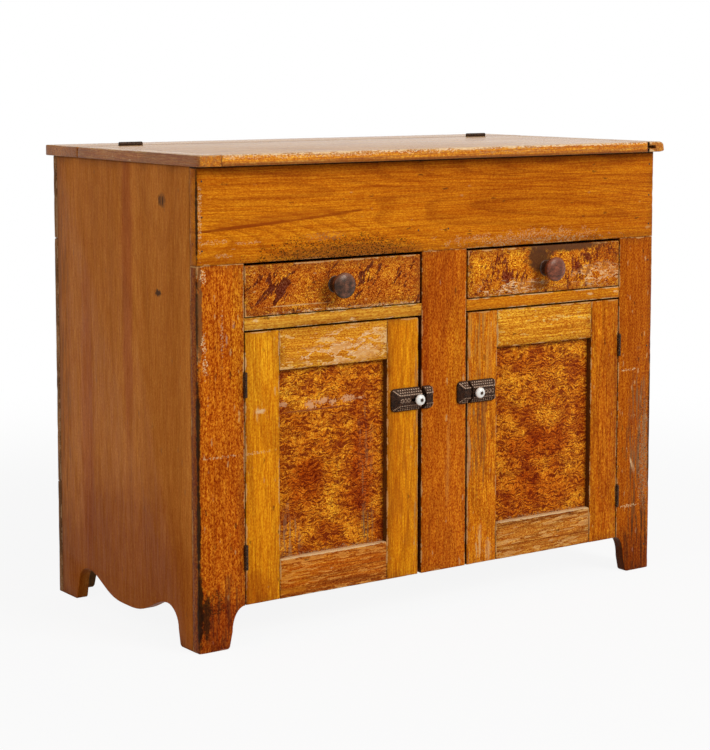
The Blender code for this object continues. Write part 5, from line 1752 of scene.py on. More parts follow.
class Heads:
    """Heads of nails and screws set on points, by one Geometry Nodes tree."""

    def __init__(self) -> None:
        """Builds the tree and the two heads."""
        self.tree = self._tree()
        items = [item for item in self.tree.interface.items_tree if getattr(item, "in_out", "") == "INPUT"]
        self.ids = {item.name: item.identifier for item in items}
        self.nail = self._head("nail_head", 7, slotted=False)
        self.screw = self._head("screw_head", 12, slotted=True)

    @staticmethod
    def _tree() -> Tree:
        """Makes a tree that sets a head on each point, facing as the point says and turned at random.

        Returns:
            The tree.
        """
        tree = bpy.data.node_groups.new("heads_on_points", "GeometryNodeTree")
        tree.is_modifier = True
        kinds = {"Points": "Geometry", "Head": "Object", "Radius": "Float", "Turn Seed": "Int"}
        for label, kind in (*kinds.items(), ("Finish", "Material")):
            tree.interface.new_socket(name=label, in_out="INPUT", socket_type=f"NodeSocket{kind}")
        tree.interface.new_socket(name="Heads", in_out="OUTPUT", socket_type="NodeSocketGeometry")
        graph = Graph(tree)
        source = graph.place("NodeGroupInput", {})
        name = {"Name": "facing"}
        facing = graph.place("GeometryNodeInputNamedAttribute", name, data_type="FLOAT_VECTOR")[0]
        aim = graph.place("FunctionNodeAlignRotationToVector", {"Vector": facing}, axis="Z")[0]
        limits = {2: 0.0, 3: 2 * math.pi, "Seed": source["Turn Seed"]}
        angle = graph.place("FunctionNodeRandomValue", limits, data_type="FLOAT")[1]
        spin = graph.place("FunctionNodeAxisAngleToRotation", {"Axis": (0, 0, 1), "Angle": angle})[0]
        way = graph.place("FunctionNodeRotateRotation", {0: aim, 1: spin}, rotation_space="LOCAL")[0]
        head = graph.place("GeometryNodeObjectInfo", {"Object": source["Head"]})["Geometry"]
        inputs = {"Points": source["Points"], "Instance": head, "Rotation": way, "Scale": source["Radius"]}
        spread = graph.place("GeometryNodeInstanceOnPoints", inputs)[0]
        real = graph.place("GeometryNodeRealizeInstances", {0: spread})[0]
        painted = graph.place("GeometryNodeSetMaterial", {"Geometry": real, "Material": source["Finish"]})[0]
        graph.place("NodeGroupOutput", {0: painted})
        return tree

    @staticmethod
    def _head(name: str, sides: int, slotted: bool) -> Piece:
        """Makes a domed head of radius one that faces +Z.

        Args:
            name: the head's name.
            sides: the number of its sides.
            slotted: whether it has a slot, as a screw's has.

        Returns:
            The head.
        """
        levels = ((1.0, -0.35), (1.0, 0.02), (0.82, 0.16), (0.45, 0.24))
        shape = bmesh.new()
        loft(shape, [[(x, y, height) for x, y in circle(radius, sides, 0.5)] for radius, height in levels])
        mesh = mesh_of(shape, name)
        if slotted:
            mesh = cut_away(mesh, [((-1.2, -0.11, 0.02), (1.2, 0.11, 0.6))])
        return bpy.data.objects.new(name, mesh)

    def set_on(
        self,
        name: str,
        spots: Sequence[Heading],
        radius: float,
        head: Piece,
        finish: Iron,
        body: str,
    ) -> Piece:
        """Sets a head on each spot.

        Args:
            name: the piece's name.
            spots: each head's place and the direction that it faces.
            radius: a head's radius.
            head: the nail's or the screw's head.
            finish: its finish.
            body: the body that the heads ride on.

        Returns:
            The heads as one piece.
        """
        points = bpy.data.meshes.new(name + "_points")
        points.from_pydata([place for place, _ in spots], [], [])
        facing = points.attributes.new("facing", "FLOAT_VECTOR", "POINT")
        facing.data.foreach_set("vector", [part for _, way in spots for part in way])
        carrier = linked(name + "_points", points)
        step = carrier.modifiers.new("heads", "NODES")
        step.node_group = self.tree
        turn_seed = zlib.crc32(name.encode()) % 1000
        values = {"Head": head, "Radius": radius, "Turn Seed": turn_seed, "Finish": finish.material()}
        for label, value in values.items():
            step[self.ids[label]] = value
        mesh = plain_mesh(carrier)
        carrier.modifiers.remove(step)
        bpy.data.objects.remove(carrier, do_unlink=True)
        shade(mesh, 0.5)
        return placed(name, mesh, finish, body)


@dataclass
class Hinge:
    """A butt hinge with three knuckles, its two leaves let into the edges of two boards."""

    name: str
    matrix: Matrix
    moving_body: str
    length: float
    radius: float
    depth: float
    thickness: float
    gap: float = 0.002
    proud: float = 0.0003
    corner: float = 0.002
    knuckle_gap: float = 0.0004
    knuckle_end: float = 0.86
    screw_depth: float = 0.55
    screw_reach: float = 0.3125
    sides: int = 20

    def build(self) -> list[tuple[str, list[Heading]]]:
        """Makes both leaves.

        Returns:
            For each leaf the body and its screws' places and directions.
        """
        knuckle = self.length / 3
        leaves = (
            ("fixed_leaf", "case", -1, (-knuckle, knuckle)),
            ("moving_leaf", self.moving_body, 1, (0.0,)),
        )
        screws = []
        for ending, body, side, middles in leaves:
            shape = bmesh.new()
            self._plate(shape, side)
            for middle in middles:
                self._knuckle(shape, middle, knuckle - self.knuckle_gap)
            bmesh.ops.transform(shape, matrix=self.matrix, verts=shape.verts)
            node = f"{self.name}_{ending}"
            mesh = mesh_of(shape, node)
            shade(mesh, 0.6)
            placed(node + "_dressed", mesh, HINGE_IRON, body, node)
            screws.append((body, self._screws(side)))
        return screws

    def _plate(self, shape: Shape, side: int) -> None:
        """Adds a leaf's plate with rounded corners and a web to the barrel.

        Args:
            shape: the bmesh.
            side: the leaf's direction from the barrel's plane.
        """
        half, end, corner = self.length / 2, self.radius + self.depth, self.corner
        outline = [(0.0, -half), (end - corner, -half), (end, corner - half)]
        outline += [(end, half - corner), (end - corner, half), (0.0, half)]
        faces = (side * (self.gap / 2 - self.proud), side * (self.gap / 2 + self.thickness))
        loft(shape, [[(x, y, z) for y, z in outline] for x in faces])

    def _knuckle(self, shape: Shape, middle: float, length: float) -> None:
        """Adds one knuckle of the barrel, with its ends a little rounded.

        Args:
            shape: the bmesh.
            middle: the knuckle's middle along the barrel.
            length: its length.
        """
        small = self.knuckle_end * self.radius
        levels = ((-0.5, small), (-0.46, self.radius), (0.46, self.radius), (0.5, small))
        rings = []
        for share, radius in levels:
            rings.append([(x, y, middle + share * length) for x, y in circle(radius, self.sides)])
        loft(shape, rings)

    def _screws(self, side: int) -> list[Heading]:
        """Finds a leaf's two screws.

        Args:
            side: the leaf's direction from the barrel's plane.

        Returns:
            Their places and the direction that they face.
        """
        way = (self.matrix.to_3x3() @ Vector((-side, 0, 0))).to_tuple()
        face = side * (self.gap / 2 - self.proud)
        across = self.radius + self.screw_depth * self.depth
        places = [Vector((face, across, up * self.screw_reach * self.length)) for up in (-1, 1)]
        return [((self.matrix @ place).to_tuple(), way) for place in places]


def hang(hinges: Sequence[Hinge], heads: Heads, label: str) -> None:
    """Makes hinges, and for each body one piece of all their screws on it.

    Args:
        hinges: the hinges.
        heads: sets the screws.
        label: the name of the screws, with a place for the body's name.
    """
    screws: dict[str, list[Heading]] = {}
    for hinge in hinges:
        for body, spots in hinge.build():
            screws.setdefault(body, []).extend(spots)
    for body, spots in screws.items():
        heads.set_on(label.format(body), spots, SCREW_RADIUS, heads.screw, HINGE_IRON, body)


@dataclass
class Latch:
    """A cast cupboard latch on a door, its keeper and its china knob, each casting by X of its two ends."""

    side: Side
    case: Pair
    keeper: Pair
    stem: float
    level: float = 0.409
    front: float = -0.25555
    half_height: float = 0.0215
    corner: float = 0.0085
    rim: float = 0.0045
    rim_round: float = 0.0012
    edge_round: float = 0.0005
    edge_angle: float = 0.35
    ridge: float = 0.0100
    depth: float = 0.0155
    travel: float = 0.012
    stem_half: float = 0.0026
    slot_floor: float = 0.004
    bolt_half: float = 0.0053
    bolt_front: float = 0.0125
    bolt_floor: float = 0.003
    bolt_tail: float = 0.008
    tail_room: float = 0.0008
    open_end: float = 0.004
    pocket: float = 0.014
    china_radius: float = 0.01025
    china_length: float = 0.0125
    china_neck: float = 0.00575
    china_widest: float = 0.0073
    china_bore: float = 0.0022
    china_hollow: float = 0.0006
    china_lip: Pair = (0.0032, 0.0001)
    china_foot: float = 0.0018
    china_sides: int = 40
    case_slope: float = 0.011
    keeper_slope: float = 0.008
    bead: float = 0.0016
    bead_rows: tuple[Point, ...] = ((0.26, 0.0052, 0.0), (0.62, 0.0052, 0.0026), (0.985, 0.0040, 0.0))
    bead_start: float = 0.0015
    bead_end: float = 0.0012
    hip_inset: float = 0.0024
    hip_beads: tuple[float, ...] = (0.12, 0.31, 0.50, 0.69, 0.88)
    ring_start: float = 0.0055
    ring_pitch: float = 0.0075
    ring_count: int = 3
    ring_beads: int = 7
    ring_radii: Pair = (0.0029, 0.0034)
    sunk: float = 0.0002

    def build(self, heads: Heads) -> None:
        """Makes the latch case, the keeper, their beads and the china knob.

        Args:
            heads: sets the beads.
        """
        word, inward = self.side.word, -self.side.value
        tail = self.stem - inward * (self.bolt_tail + self.travel + self.tail_room)
        slot_ends = (self.stem + inward * self.stem_half, self.stem - inward * (self.travel + self.stem_half))
        slot = self._cut(slot_ends, self.stem_half, self.depth + self.slot_floor, self.slot_floor)
        hollow_ends = (self.case[1] + inward * self.open_end, tail)
        hollow = self._cut(hollow_ends, self.bolt_half, self.bolt_front, self.bolt_floor)
        mouth = self.keeper[1]
        pocket_ends = (mouth - inward * self.open_end, mouth + inward * self.pocket)
        pocket = self._cut(pocket_ends, self.bolt_half, self.bolt_front, self.bolt_floor)
        castings = (
            ("latch", "latch_case", f"{word}_door", (*self.case, self.case_slope), (hollow, slot)),
            ("keeper", "latch_keeper", "case", (*self.keeper, self.keeper_slope), (pocket,)),
        )
        for name, node, body, shape, cuts in castings:
            mesh = cut_away(self._casting(*shape), cuts)
            shade(mesh, 0.5)
            placed(f"{word}_{name}_casting", mesh, LATCH_IRON, body, f"{word}_{node}")
        for name, _, body, shape, _ in castings:
            spots = self._beads(*shape, ringed=name == "latch")
            label = f"{word}_{name}_beads"
            heads.set_on(label, spots, self.bead, heads.nail, LATCH_RUBBED_AND_LIT, body)
        self._china()

    def _cut(self, ends: Pair, half: float, out: float, floor: float) -> Box:
        """Makes the box of a cut along a casting.

        Args:
            ends: X of its ends in any order.
            half: half its height.
            out: how far it reaches out of the front.
            floor: how far its floor stands out of the front.

        Returns:
            Its low and high corner.
        """
        low = (min(ends), self.front - out, self.level - half)
        return low, (max(ends), self.front - floor, self.level + half)

    def _casting(self, outer: float, inner: float, slope: float) -> Mesh:
        """Makes a plate with rounded outer corners under a roof that also slopes at its outer end.

        Args:
            outer: X of the rounded end.
            inner: X of the square end.
            slope: how far the roof's outer end runs back.

        Returns:
            The mesh.
        """
        way = 1 if inner > outer else -1
        half, corner = self.half_height, self.corner
        bend = arc((0, 0), (corner, corner), 90, 0, 5)
        plate = [(inner, -half), (inner, half)]
        plate += [(outer + way * (corner - x), half - corner + z) for x, z in bend]
        plate += [(outer + way * (corner - x), -half + corner - z) for x, z in reversed(bend)]
        rings = []
        for out, inset in ((0.0, 0.0), (self.rim_round - self.rim, 0.0), (-self.rim, self.rim_round)):
            ring = []
            for x, z in plate:
                x_in = x + way * inset if abs(x - inner) > TINY else x
                ring.append((x_in, self.front + out, self.level + z * (1 - inset / half)))
            rings.append(ring)
        shape = bmesh.new()
        base = loft(shape, rings, caps=(0,))
        roof = self.front - self.depth
        crest_low, crest_high, end_low, end_high = (
            shape.verts.new((x, roof, self.level + up * self.ridge))
            for x in (inner, outer + way * slope)
            for up in (-1, 1)
        )
        middle = len(base) // 2
        upper, lower = base[1:middle], base[middle:]
        shape.faces.new((base[0], base[1], crest_high, crest_low))
        shape.faces.new((crest_low, crest_high, end_high, end_low))
        shape.faces.new((base[1], upper[1], end_high, crest_high))
        shape.faces.new((upper[-1], lower[0], end_low, end_high))
        shape.faces.new((lower[-1], base[0], crest_low, end_low))
        for side, end in ((upper[1:], end_high), (lower, end_low)):
            for first, second in zip(side, side[1:]):
                shape.faces.new((first, second, end))
        bmesh.ops.recalc_face_normals(shape, faces=shape.faces)
        soften(shape, self.edge_round, 2, self.edge_angle)
        return mesh_of(shape, "latch_casting")

    def _beads(self, outer: float, inner: float, slope: float, ringed: bool) -> list[Heading]:
        """Lays beads on a casting: rows on its slopes, ropes on its ridges and hips, and a chain of rings.

        Args:
            outer: X of the casting's rounded end.
            inner: X of its square end.
            slope: how far its roof's outer end runs back.
            ringed: whether it has the rings.

        Returns:
            Each bead's place and the direction that it faces.
        """
        way = 1 if inner > outer else -1
        rise, out = self.half_height - self.ridge, self.depth - self.rim
        first = outer + way * (slope + self.bead_start)
        rows, hips, rings = [], [], []
        for up in (-1, 1):
            facing = Vector((0, -rise, up * out)).normalized().to_tuple()
            for share, pitch, offset in self.bead_rows:
                y = self.front - self.rim - share * out
                z = self.level + up * (self.half_height - share * rise)
                for i in range(int((abs(inner - first) - offset - self.bead_end) / pitch) + 1):
                    rows.append(((first + way * (pitch * i + offset), y, z), facing))
            foot = self.level + up * (self.half_height - self.hip_inset)
            low = Vector((outer + way * self.hip_inset, self.front - self.rim, foot))
            high = Vector((outer + way * slope, self.front - self.depth, self.level + up * self.ridge))
            facing = Vector((-way, -1.0, up)).normalized().to_tuple()
            hips += [(low.lerp(high, share).to_tuple(), facing) for share in self.hip_beads]
        y = self.front - self.depth + self.sunk
        for number in range(self.ring_count if ringed else 0):
            middle = outer + way * (slope + self.ring_start) + way * self.ring_pitch * number
            for u, v in circle(1.0, self.ring_beads):
                place = (middle + self.ring_radii[0] * u, y, self.level + self.ring_radii[1] * v)
                rings.append((place, (0, -1, 0)))
        return rows + hips + rings

    def _china(self) -> None:
        """Makes the china knob, a flattened ball on a neck with a hollow about the end of its stem."""
        length, neck, widest, bore = self.china_length, self.china_neck, self.china_widest, self.china_bore
        profile = [(bore, length - self.china_hollow), (self.china_lip[0], length + self.china_lip[1])]
        profile += arc((0, widest), (self.china_radius, length - widest), 68, 0, 12)
        profile += arc((neck, widest), (self.china_radius - neck, widest - self.china_foot), 0, -90, 8)[1:]
        profile += [(neck, 0.0), (bore, 0.0)]
        word = self.side.word
        centre = (self.stem, self.front - self.depth - FIT, self.level)
        mesh = turned(f"{word}_china_knob", profile, centre, self.china_sides, bored=True)
        placed(f"{word}_china_knob", mesh, CHINA_WHITE, f"{word}_latch", f"{word}_latch_knob")


@dataclass
class Case:
    """The fixed boards of the cupboard."""

    left: float = -0.535
    right: float = 0.535
    inner_left: float = -0.513
    inner_right: float = 0.513
    front: float = FRONT
    face_back: float = FACE_BACK
    inner_back: float = 0.26275
    back: float = 0.27675
    base: float = 0.0735
    door_head: float = 0.5632
    drawer_sill: float = 0.5855
    drawer_head: float = 0.6823
    top: float = 0.8533
    back_top_low: float = 0.6943
    back_foot_high: float = 0.219
    left_opening: Pair = (-0.4398, -0.0492)
    right_opening: Pair = (0.0564, 0.4470)
    nail_inset: float = 0.011
    nail_gap: float = 0.00005
    back_nails: tuple[float, ...] = (0.04, 0.12, 0.19, 0.26, 0.38, 0.50, 0.62, 0.67, 0.72, 0.78, 0.83)
    shelf_nails: tuple[float, ...] = (0.084, 0.5765, 0.711)
    shelf_nail_start: float = -0.42
    shelf_nail_pitch: float = 0.14
    shelf_nail_count: int = 7
    fascia_nails: tuple[float, ...] = (0.708, 0.766, 0.828)
    centre_nails: tuple[Pair, ...] = ((-0.058, 0.722), (0.012, 0.722))
    stile_nails: tuple[float, ...] = (0.635, 0.46, 0.25, 0.05)
    back_nail_radius: float = 0.0022
    face_nail_radius: float = 0.0019

    def build(self, heads: Heads) -> None:
        """Makes every fixed board.

        Args:
            heads: sets the nails.
        """
        self._sides()
        self._face()
        self._back()
        self._inside()
        self._nails(heads)

    def _sides(self) -> None:
        """Makes the two side boards with their scalloped lower edges."""
        look = {"slot": "side_wood", "rounding": 0.001, "wear": 0.4, "shaped": True}
        left, right = (self.left, self.inner_left), (self.inner_right, self.right)
        for word, (start, end) in (("left", left), ("right", right)):
            low, high = (start, self.face_back + FIT, 0.0), (end, self.inner_back - FIT, self.top)
            Board(f"{word}_side", f"{word}_side_panel", low, high, SIDE_BROWN, **look).build()

    def _face(self) -> None:
        """Makes the fascia, the stiles and the rails under the drawers."""
        front, deep = self.front, self.face_back
        stile_top = self.drawer_head - FIT
        low, high = (self.left, front, self.drawer_head), (self.right, deep, self.top)
        Board("fascia", "fascia_board", low, high, FASCIA_ORANGE, wear=0.8).build()
        look = {"rounding": 0.0016, "wear": 0.7, "corner_wear": 1.1, "shaped": True}
        for side, start, end, finish in (
            (Side.LEFT, self.left, self.left_opening[0], STILE_ORANGE),
            (Side.RIGHT, self.right_opening[1], self.right, RIGHT_ORANGE),
        ):
            low, high = (start, front, 0.0), (end, deep, stile_top)
            look["worn_edges"] = (((1, True), (0, side is Side.LEFT)),)
            Board(f"{side.word}_stile", f"{side.word}_face_stile", low, high, finish, **look).build()
        low, high = (self.left_opening[1], front, self.base), (self.right_opening[0], deep, stile_top)
        Board("centre_stile", "centre_face_stile", low, high, CENTRE_ORANGE, wear=0.9).build()
        rails = (("left", self.left_opening, RAIL_GOLD), ("right", self.right_opening, RAIL_AMBER))
        for word, (start, end), finish in rails:
            low, high = (start + FIT, front, self.door_head), (end - FIT, deep, self.drawer_sill)
            Board(f"{word}_rail", f"{word}_drawer_rail", low, high, finish, wear=0.8).build()

    def _back(self) -> None:
        """Makes the three boards across the back."""
        for word, under, top, finish, rounding in (
            ("top", self.back_top_low + FIT, self.top, BACK_BROWN, 0.0026),
            ("middle", self.back_foot_high + FIT, self.back_top_low, BACK_PALE, 0.0026),
            ("foot", 0.0, self.back_foot_high, BACK_BROWN, 0.0016),
        ):
            low, high = (self.left, self.inner_back, under), (self.right, self.back, top)
            look = {"slot": "side_wood", "rounding": rounding, "shaped": word == "foot"}
            Board(f"back_{word}", f"back_{word}_board", low, high, finish, **look).build()

    def _inside(self) -> None:
        """Makes the bottom, the drawer bed and the floor of the well."""
        for node, name in (
            ("bottom_board", "cupboard_bottom"),
            ("drawer_bed", "drawer_runner_bed"),
            ("well_floor", "well_bottom"),
        ):
            low, high = (corner.to_tuple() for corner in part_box(node))
            look = {"slot": "inner_wood", "rounding": 0.001, "wear": 0.3, "shaped": node == "drawer_bed"}
            Board(name, node, low, high, bare_wood(Grain.ALONG_X), **look).build()

    def _nails(self, heads: Heads) -> None:
        """Drives nails through the back into the sides and shelves, and through the face into the sides.

        Args:
            heads: sets the nails.
        """
        edges = (self.left + self.nail_inset, self.right - self.nail_inset)
        back = [(x, z) for z in self.back_nails for x in edges]
        shelf = [self.shelf_nail_start + self.shelf_nail_pitch * i for i in range(self.shelf_nail_count)]
        back += [(x, z) for z in self.shelf_nails for x in shelf]
        face = [(x, z) for x in edges for z in self.fascia_nails]
        face += [*self.centre_nails, *((edges[1], z) for z in self.stile_nails)]
        for name, places, y, way, radius in (
            ("back_nails", back, self.back + self.nail_gap, 1, self.back_nail_radius),
            ("face_nails", face, self.front - self.nail_gap, -1, self.face_nail_radius),
        ):
            spots = [((x, y, z), (0, way, 0)) for x, z in places]
            heads.set_on(name, spots, radius, heads.nail, NAIL_IRON, "case")


@dataclass
class Lid:
    """The lid with its end cleats, the fixed strip behind it and its hinges."""

    left: float = -0.5424
    right: float = 0.5424
    cleat: float = 0.045
    front: float = -0.27965
    rear: float = 0.16125
    strip_front: float = 0.16325
    back: float = 0.29325
    under: float = 0.8536
    top: float = 0.8736
    groove_half: float = 0.0033
    groove_reach: float = 0.0205
    groove_depth: float = 0.012
    slit_width: float = 0.0028
    slit_depth: float = 0.009
    over: float = 0.004
    hinge_places: Pair = (-0.429, 0.412)
    hinge_line: Pair = (0.16225, 0.8774)

    def build(self, heads: Heads) -> None:
        """Makes the lid, the strip and the hinges.

        Args:
            heads: sets the hinges' screws.
        """
        board_left, board_right = self.left + self.cleat, self.right - self.cleat
        front_edges = (((1, True), (2, False)),)
        left_edges = (((0, True), (1, True)), ((0, True), (2, False)))
        right_edges = (((0, False), (2, False)), ((0, False), (2, True)))
        cuts = self._open_joint(board_right)
        tan = {"rounding": 0.0014, "wear": 0.8, "worn_edges": front_edges}
        plain = {"rounding": 0.0016, "wear": 0.5, "worn_edges": left_edges}
        gold = {"rounding": 0.003, "wear": 0.4, "worn_edges": right_edges, "cuts": cuts}
        for name, node, start, end, finish, look in (
            ("middle", "lid_board", board_left + FIT, board_right - FIT, LID_TAN, tan),
            ("left_end", "lid_left_cleat", self.left, board_left, CLEAT_TAN, plain),
            ("right_end", "lid_right_cleat", board_right, self.right, RIGHT_CLEAT, gold),
        ):
            low, high = (start, self.front, self.under), (end, self.rear, self.top)
            Board(f"lid_{name}", node, low, high, finish, "lid", "lid_wood", corner_wear=0.9, **look).build()
        low, high = (self.left, self.strip_front, self.under), (self.right, self.back, self.top)
        look = {"slot": "lid_wood", "rounding": 0.0026}
        Board("lid_rear_strip", "lid_back_strip", low, high, STRIP_TAN, **look).build()
        self._hinges(heads)

    def _open_joint(self, joint: float) -> tuple[Box, Box]:
        """Makes the cuts that leave the groove's end and the joint open at the front right corner.

        Args:
            joint: X of the joint.

        Returns:
            The boxes of the groove and of the slit.
        """
        middle = (self.under + self.top) / 2
        start, before = joint - self.over, self.front - self.over
        groove_end = (joint + self.groove_reach, self.front + self.groove_depth, middle + self.groove_half)
        slit_end = (joint + self.slit_width, self.front + self.slit_depth, self.top + self.over)
        groove = ((start, before, middle - self.groove_half), groove_end)
        return groove, ((start, before, self.under - self.over), slit_end)

    def _hinges(self, heads: Heads) -> None:
        """Makes both hinges between the lid and the strip.

        Args:
            heads: sets their screws.
        """
        turn = Matrix(((0, 0, 1, 0), (-1, 0, 0, 0), (0, -1, 0, 0), (0, 0, 0, 1)))
        sizes = {"length": 0.050, "radius": 0.0035, "depth": 0.015, "thickness": 0.0016}
        hinges = []
        for word, x in zip(("left", "right"), self.hinge_places):
            matrix = Matrix.Translation((x, *self.hinge_line)) @ turn
            hinges.append(Hinge(f"lid_{word}_hinge", matrix, "lid", **sizes))
        hang(hinges, heads, "{}_lid_hinge_screws")


@dataclass
class Door:
    """A framed door with a painted panel and its hinges.

    The edges of its frame and of its panel are each given by their rounding and their wear.
    """

    side: Side
    stile_finish: Varnish
    top_finish: Varnish
    bottom_finish: Varnish
    start: float
    end: float
    hinge_x: float
    stile: float = 0.072
    rail: float = 0.072
    low: float = 0.0735
    high: float = 0.5597
    front: float = FRONT
    thickness: float = 0.022
    panel_recess: float = 0.012
    panel_thickness: float = 0.006
    tongue: float = 0.009
    frame_edges: Pair = (0.0014, 0.8)
    panel_edges: Pair = (0.0004, 0.0)
    hinge_heights: Pair = (0.160, 0.468)
    hinge_y: float = -0.25855

    def build(self, heads: Heads) -> None:
        """Makes the door's frame, panel and hinges.

        Args:
            heads: sets the hinges' screws.
        """
        word, body = self.side.word, f"{self.side.word}_door"
        back = self.front + self.thickness
        inner_start, inner_end = self.start + self.stile, self.end - self.stile
        panel_low, panel_high = self.low + self.rail, self.high - self.rail
        first, last = ("hinge", "latch") if self.side is Side.LEFT else ("latch", "hinge")
        members = (
            (f"{first}_stile", self.start, inner_start - FIT, self.low, self.high, self.stile_finish),
            (f"{last}_stile", inner_end + FIT, self.end, self.low, self.high, self.stile_finish),
            ("bottom_rail", inner_start, inner_end, self.low, panel_low, self.bottom_finish),
            ("top_rail", inner_start, inner_end, panel_high, self.high, self.top_finish),
        )
        for name, left, right, under, top, finish in members:
            low, high = (left, self.front, under), (right, back, top)
            node = f"{word}_door_{name}"
            Board(f"{word}_{name}", node, low, high, finish, body, "door_wood", *self.frame_edges).build()
        face, grow = self.front + self.panel_recess, self.tongue
        low = (inner_start - grow, face, panel_low - grow)
        high = (inner_end + grow, face + self.panel_thickness, panel_high + grow)
        node = f"{word}_door_panel"
        Board(f"{word}_panel", node, low, high, PANEL_BURL, body, "panel_paint", *self.panel_edges).build()
        self._hinges(heads)

    def _hinges(self, heads: Heads) -> None:
        """Makes both hinges of the door.

        Args:
            heads: sets their screws.
        """
        word = self.side.word
        turn = Matrix.Identity(4) if self.side is Side.LEFT else Matrix.Rotation(math.pi, 4, "Y")
        sizes = {"length": 0.045, "radius": 0.003, "depth": 0.017, "thickness": 0.0014}
        hinges = []
        for place, height in zip(("lower", "upper"), self.hinge_heights):
            matrix = Matrix.Translation((self.hinge_x, self.hinge_y, height)) @ turn
            hinges.append(Hinge(f"{word}_door_{place}_hinge", matrix, f"{word}_door", **sizes))
        hang(hinges, heads, f"{word}_{{}}_hinge_screws")


@dataclass
class Drawer:
    """A drawer with a painted front, a box of bare boards and a turned knob.

    The edges of its front and of its box are each given by their rounding and their wear.
    """

    side: Side
    finish: FeatherPaint
    knob_finish: TurnedWood
    start: float
    end: float
    low: float = 0.5865
    high: float = 0.6773
    front: float = FRONT
    thickness: float = 0.022
    knob_level: float = 0.6339
    knob_radius: float = 0.0235
    knob_out: float = 0.038
    knob_face: float = 0.009
    knob_undercut: float = 0.013
    knob_neck: float = 0.012
    knob_base: float = 0.0155
    knob_lip: float = 0.0012
    knob_edge: float = 0.0016
    knob_throat: float = 0.001
    knob_sides: int = 56
    front_edges: Pair = (0.0016, 0.9)
    box_edges: Pair = (0.0008, 0.4)

    def build(self) -> None:
        """Makes the drawer's front, box and knob."""
        word, body = self.side.word, f"{self.side.word}_drawer"
        low = (self.start + 0.5 * FIT, self.front, self.low)
        high = (self.end - 0.5 * FIT, self.front + self.thickness, self.high)
        name = f"{word}_painted_front"
        Board(name, f"{body}_front", low, high, self.finish, body, "drawer_paint", *self.front_edges).build()
        for board in ("left_side", "right_side", "back", "bottom"):
            low, high = (corner.to_tuple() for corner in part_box(f"{body}_{board}"))
            wood = bare_wood(Grain.ALONG_Y if board.endswith("side") else Grain.ALONG_X)
            name = f"{word}_box_{board}"
            Board(name, f"{body}_{board}", low, high, wood, body, "inner_wood", *self.box_edges).build()
        self._knob()

    def _knob(self) -> None:
        """Makes the turned knob: a domed face, an undercut, a neck and a flared foot."""
        radius, neck, base, edge = self.knob_radius, self.knob_neck, self.knob_base, self.knob_edge
        rim = self.knob_out - self.knob_face
        throat = rim - self.knob_undercut
        hollow = (radius - neck - self.knob_throat, self.knob_undercut - self.knob_throat)
        dome = arc((0, rim + self.knob_lip), (radius, self.knob_face - self.knob_lip), 90, 8, 14)
        profile = [(0.0, self.knob_out), *dome[1:]]
        profile += arc((radius - edge, rim), (edge, edge), 30, -60, 5)
        profile += arc((neck, rim - self.knob_throat), hollow, -12, -90, 10)
        profile += arc((base, throat), (base - neck, throat - FIT), 180, 270, 8)[1:]
        profile.append((0.0, FIT))
        name, body = f"{self.side.word}_turned_knob", f"{self.side.word}_drawer"
        centre = ((self.start + self.end) / 2, self.front, self.knob_level)
        mesh = turned(name, profile, centre, self.knob_sides)
        note_board(mesh, name, NOWHERE, NOWHERE)
        placed(name, mesh, self.knob_finish, body, f"{body}_knob")


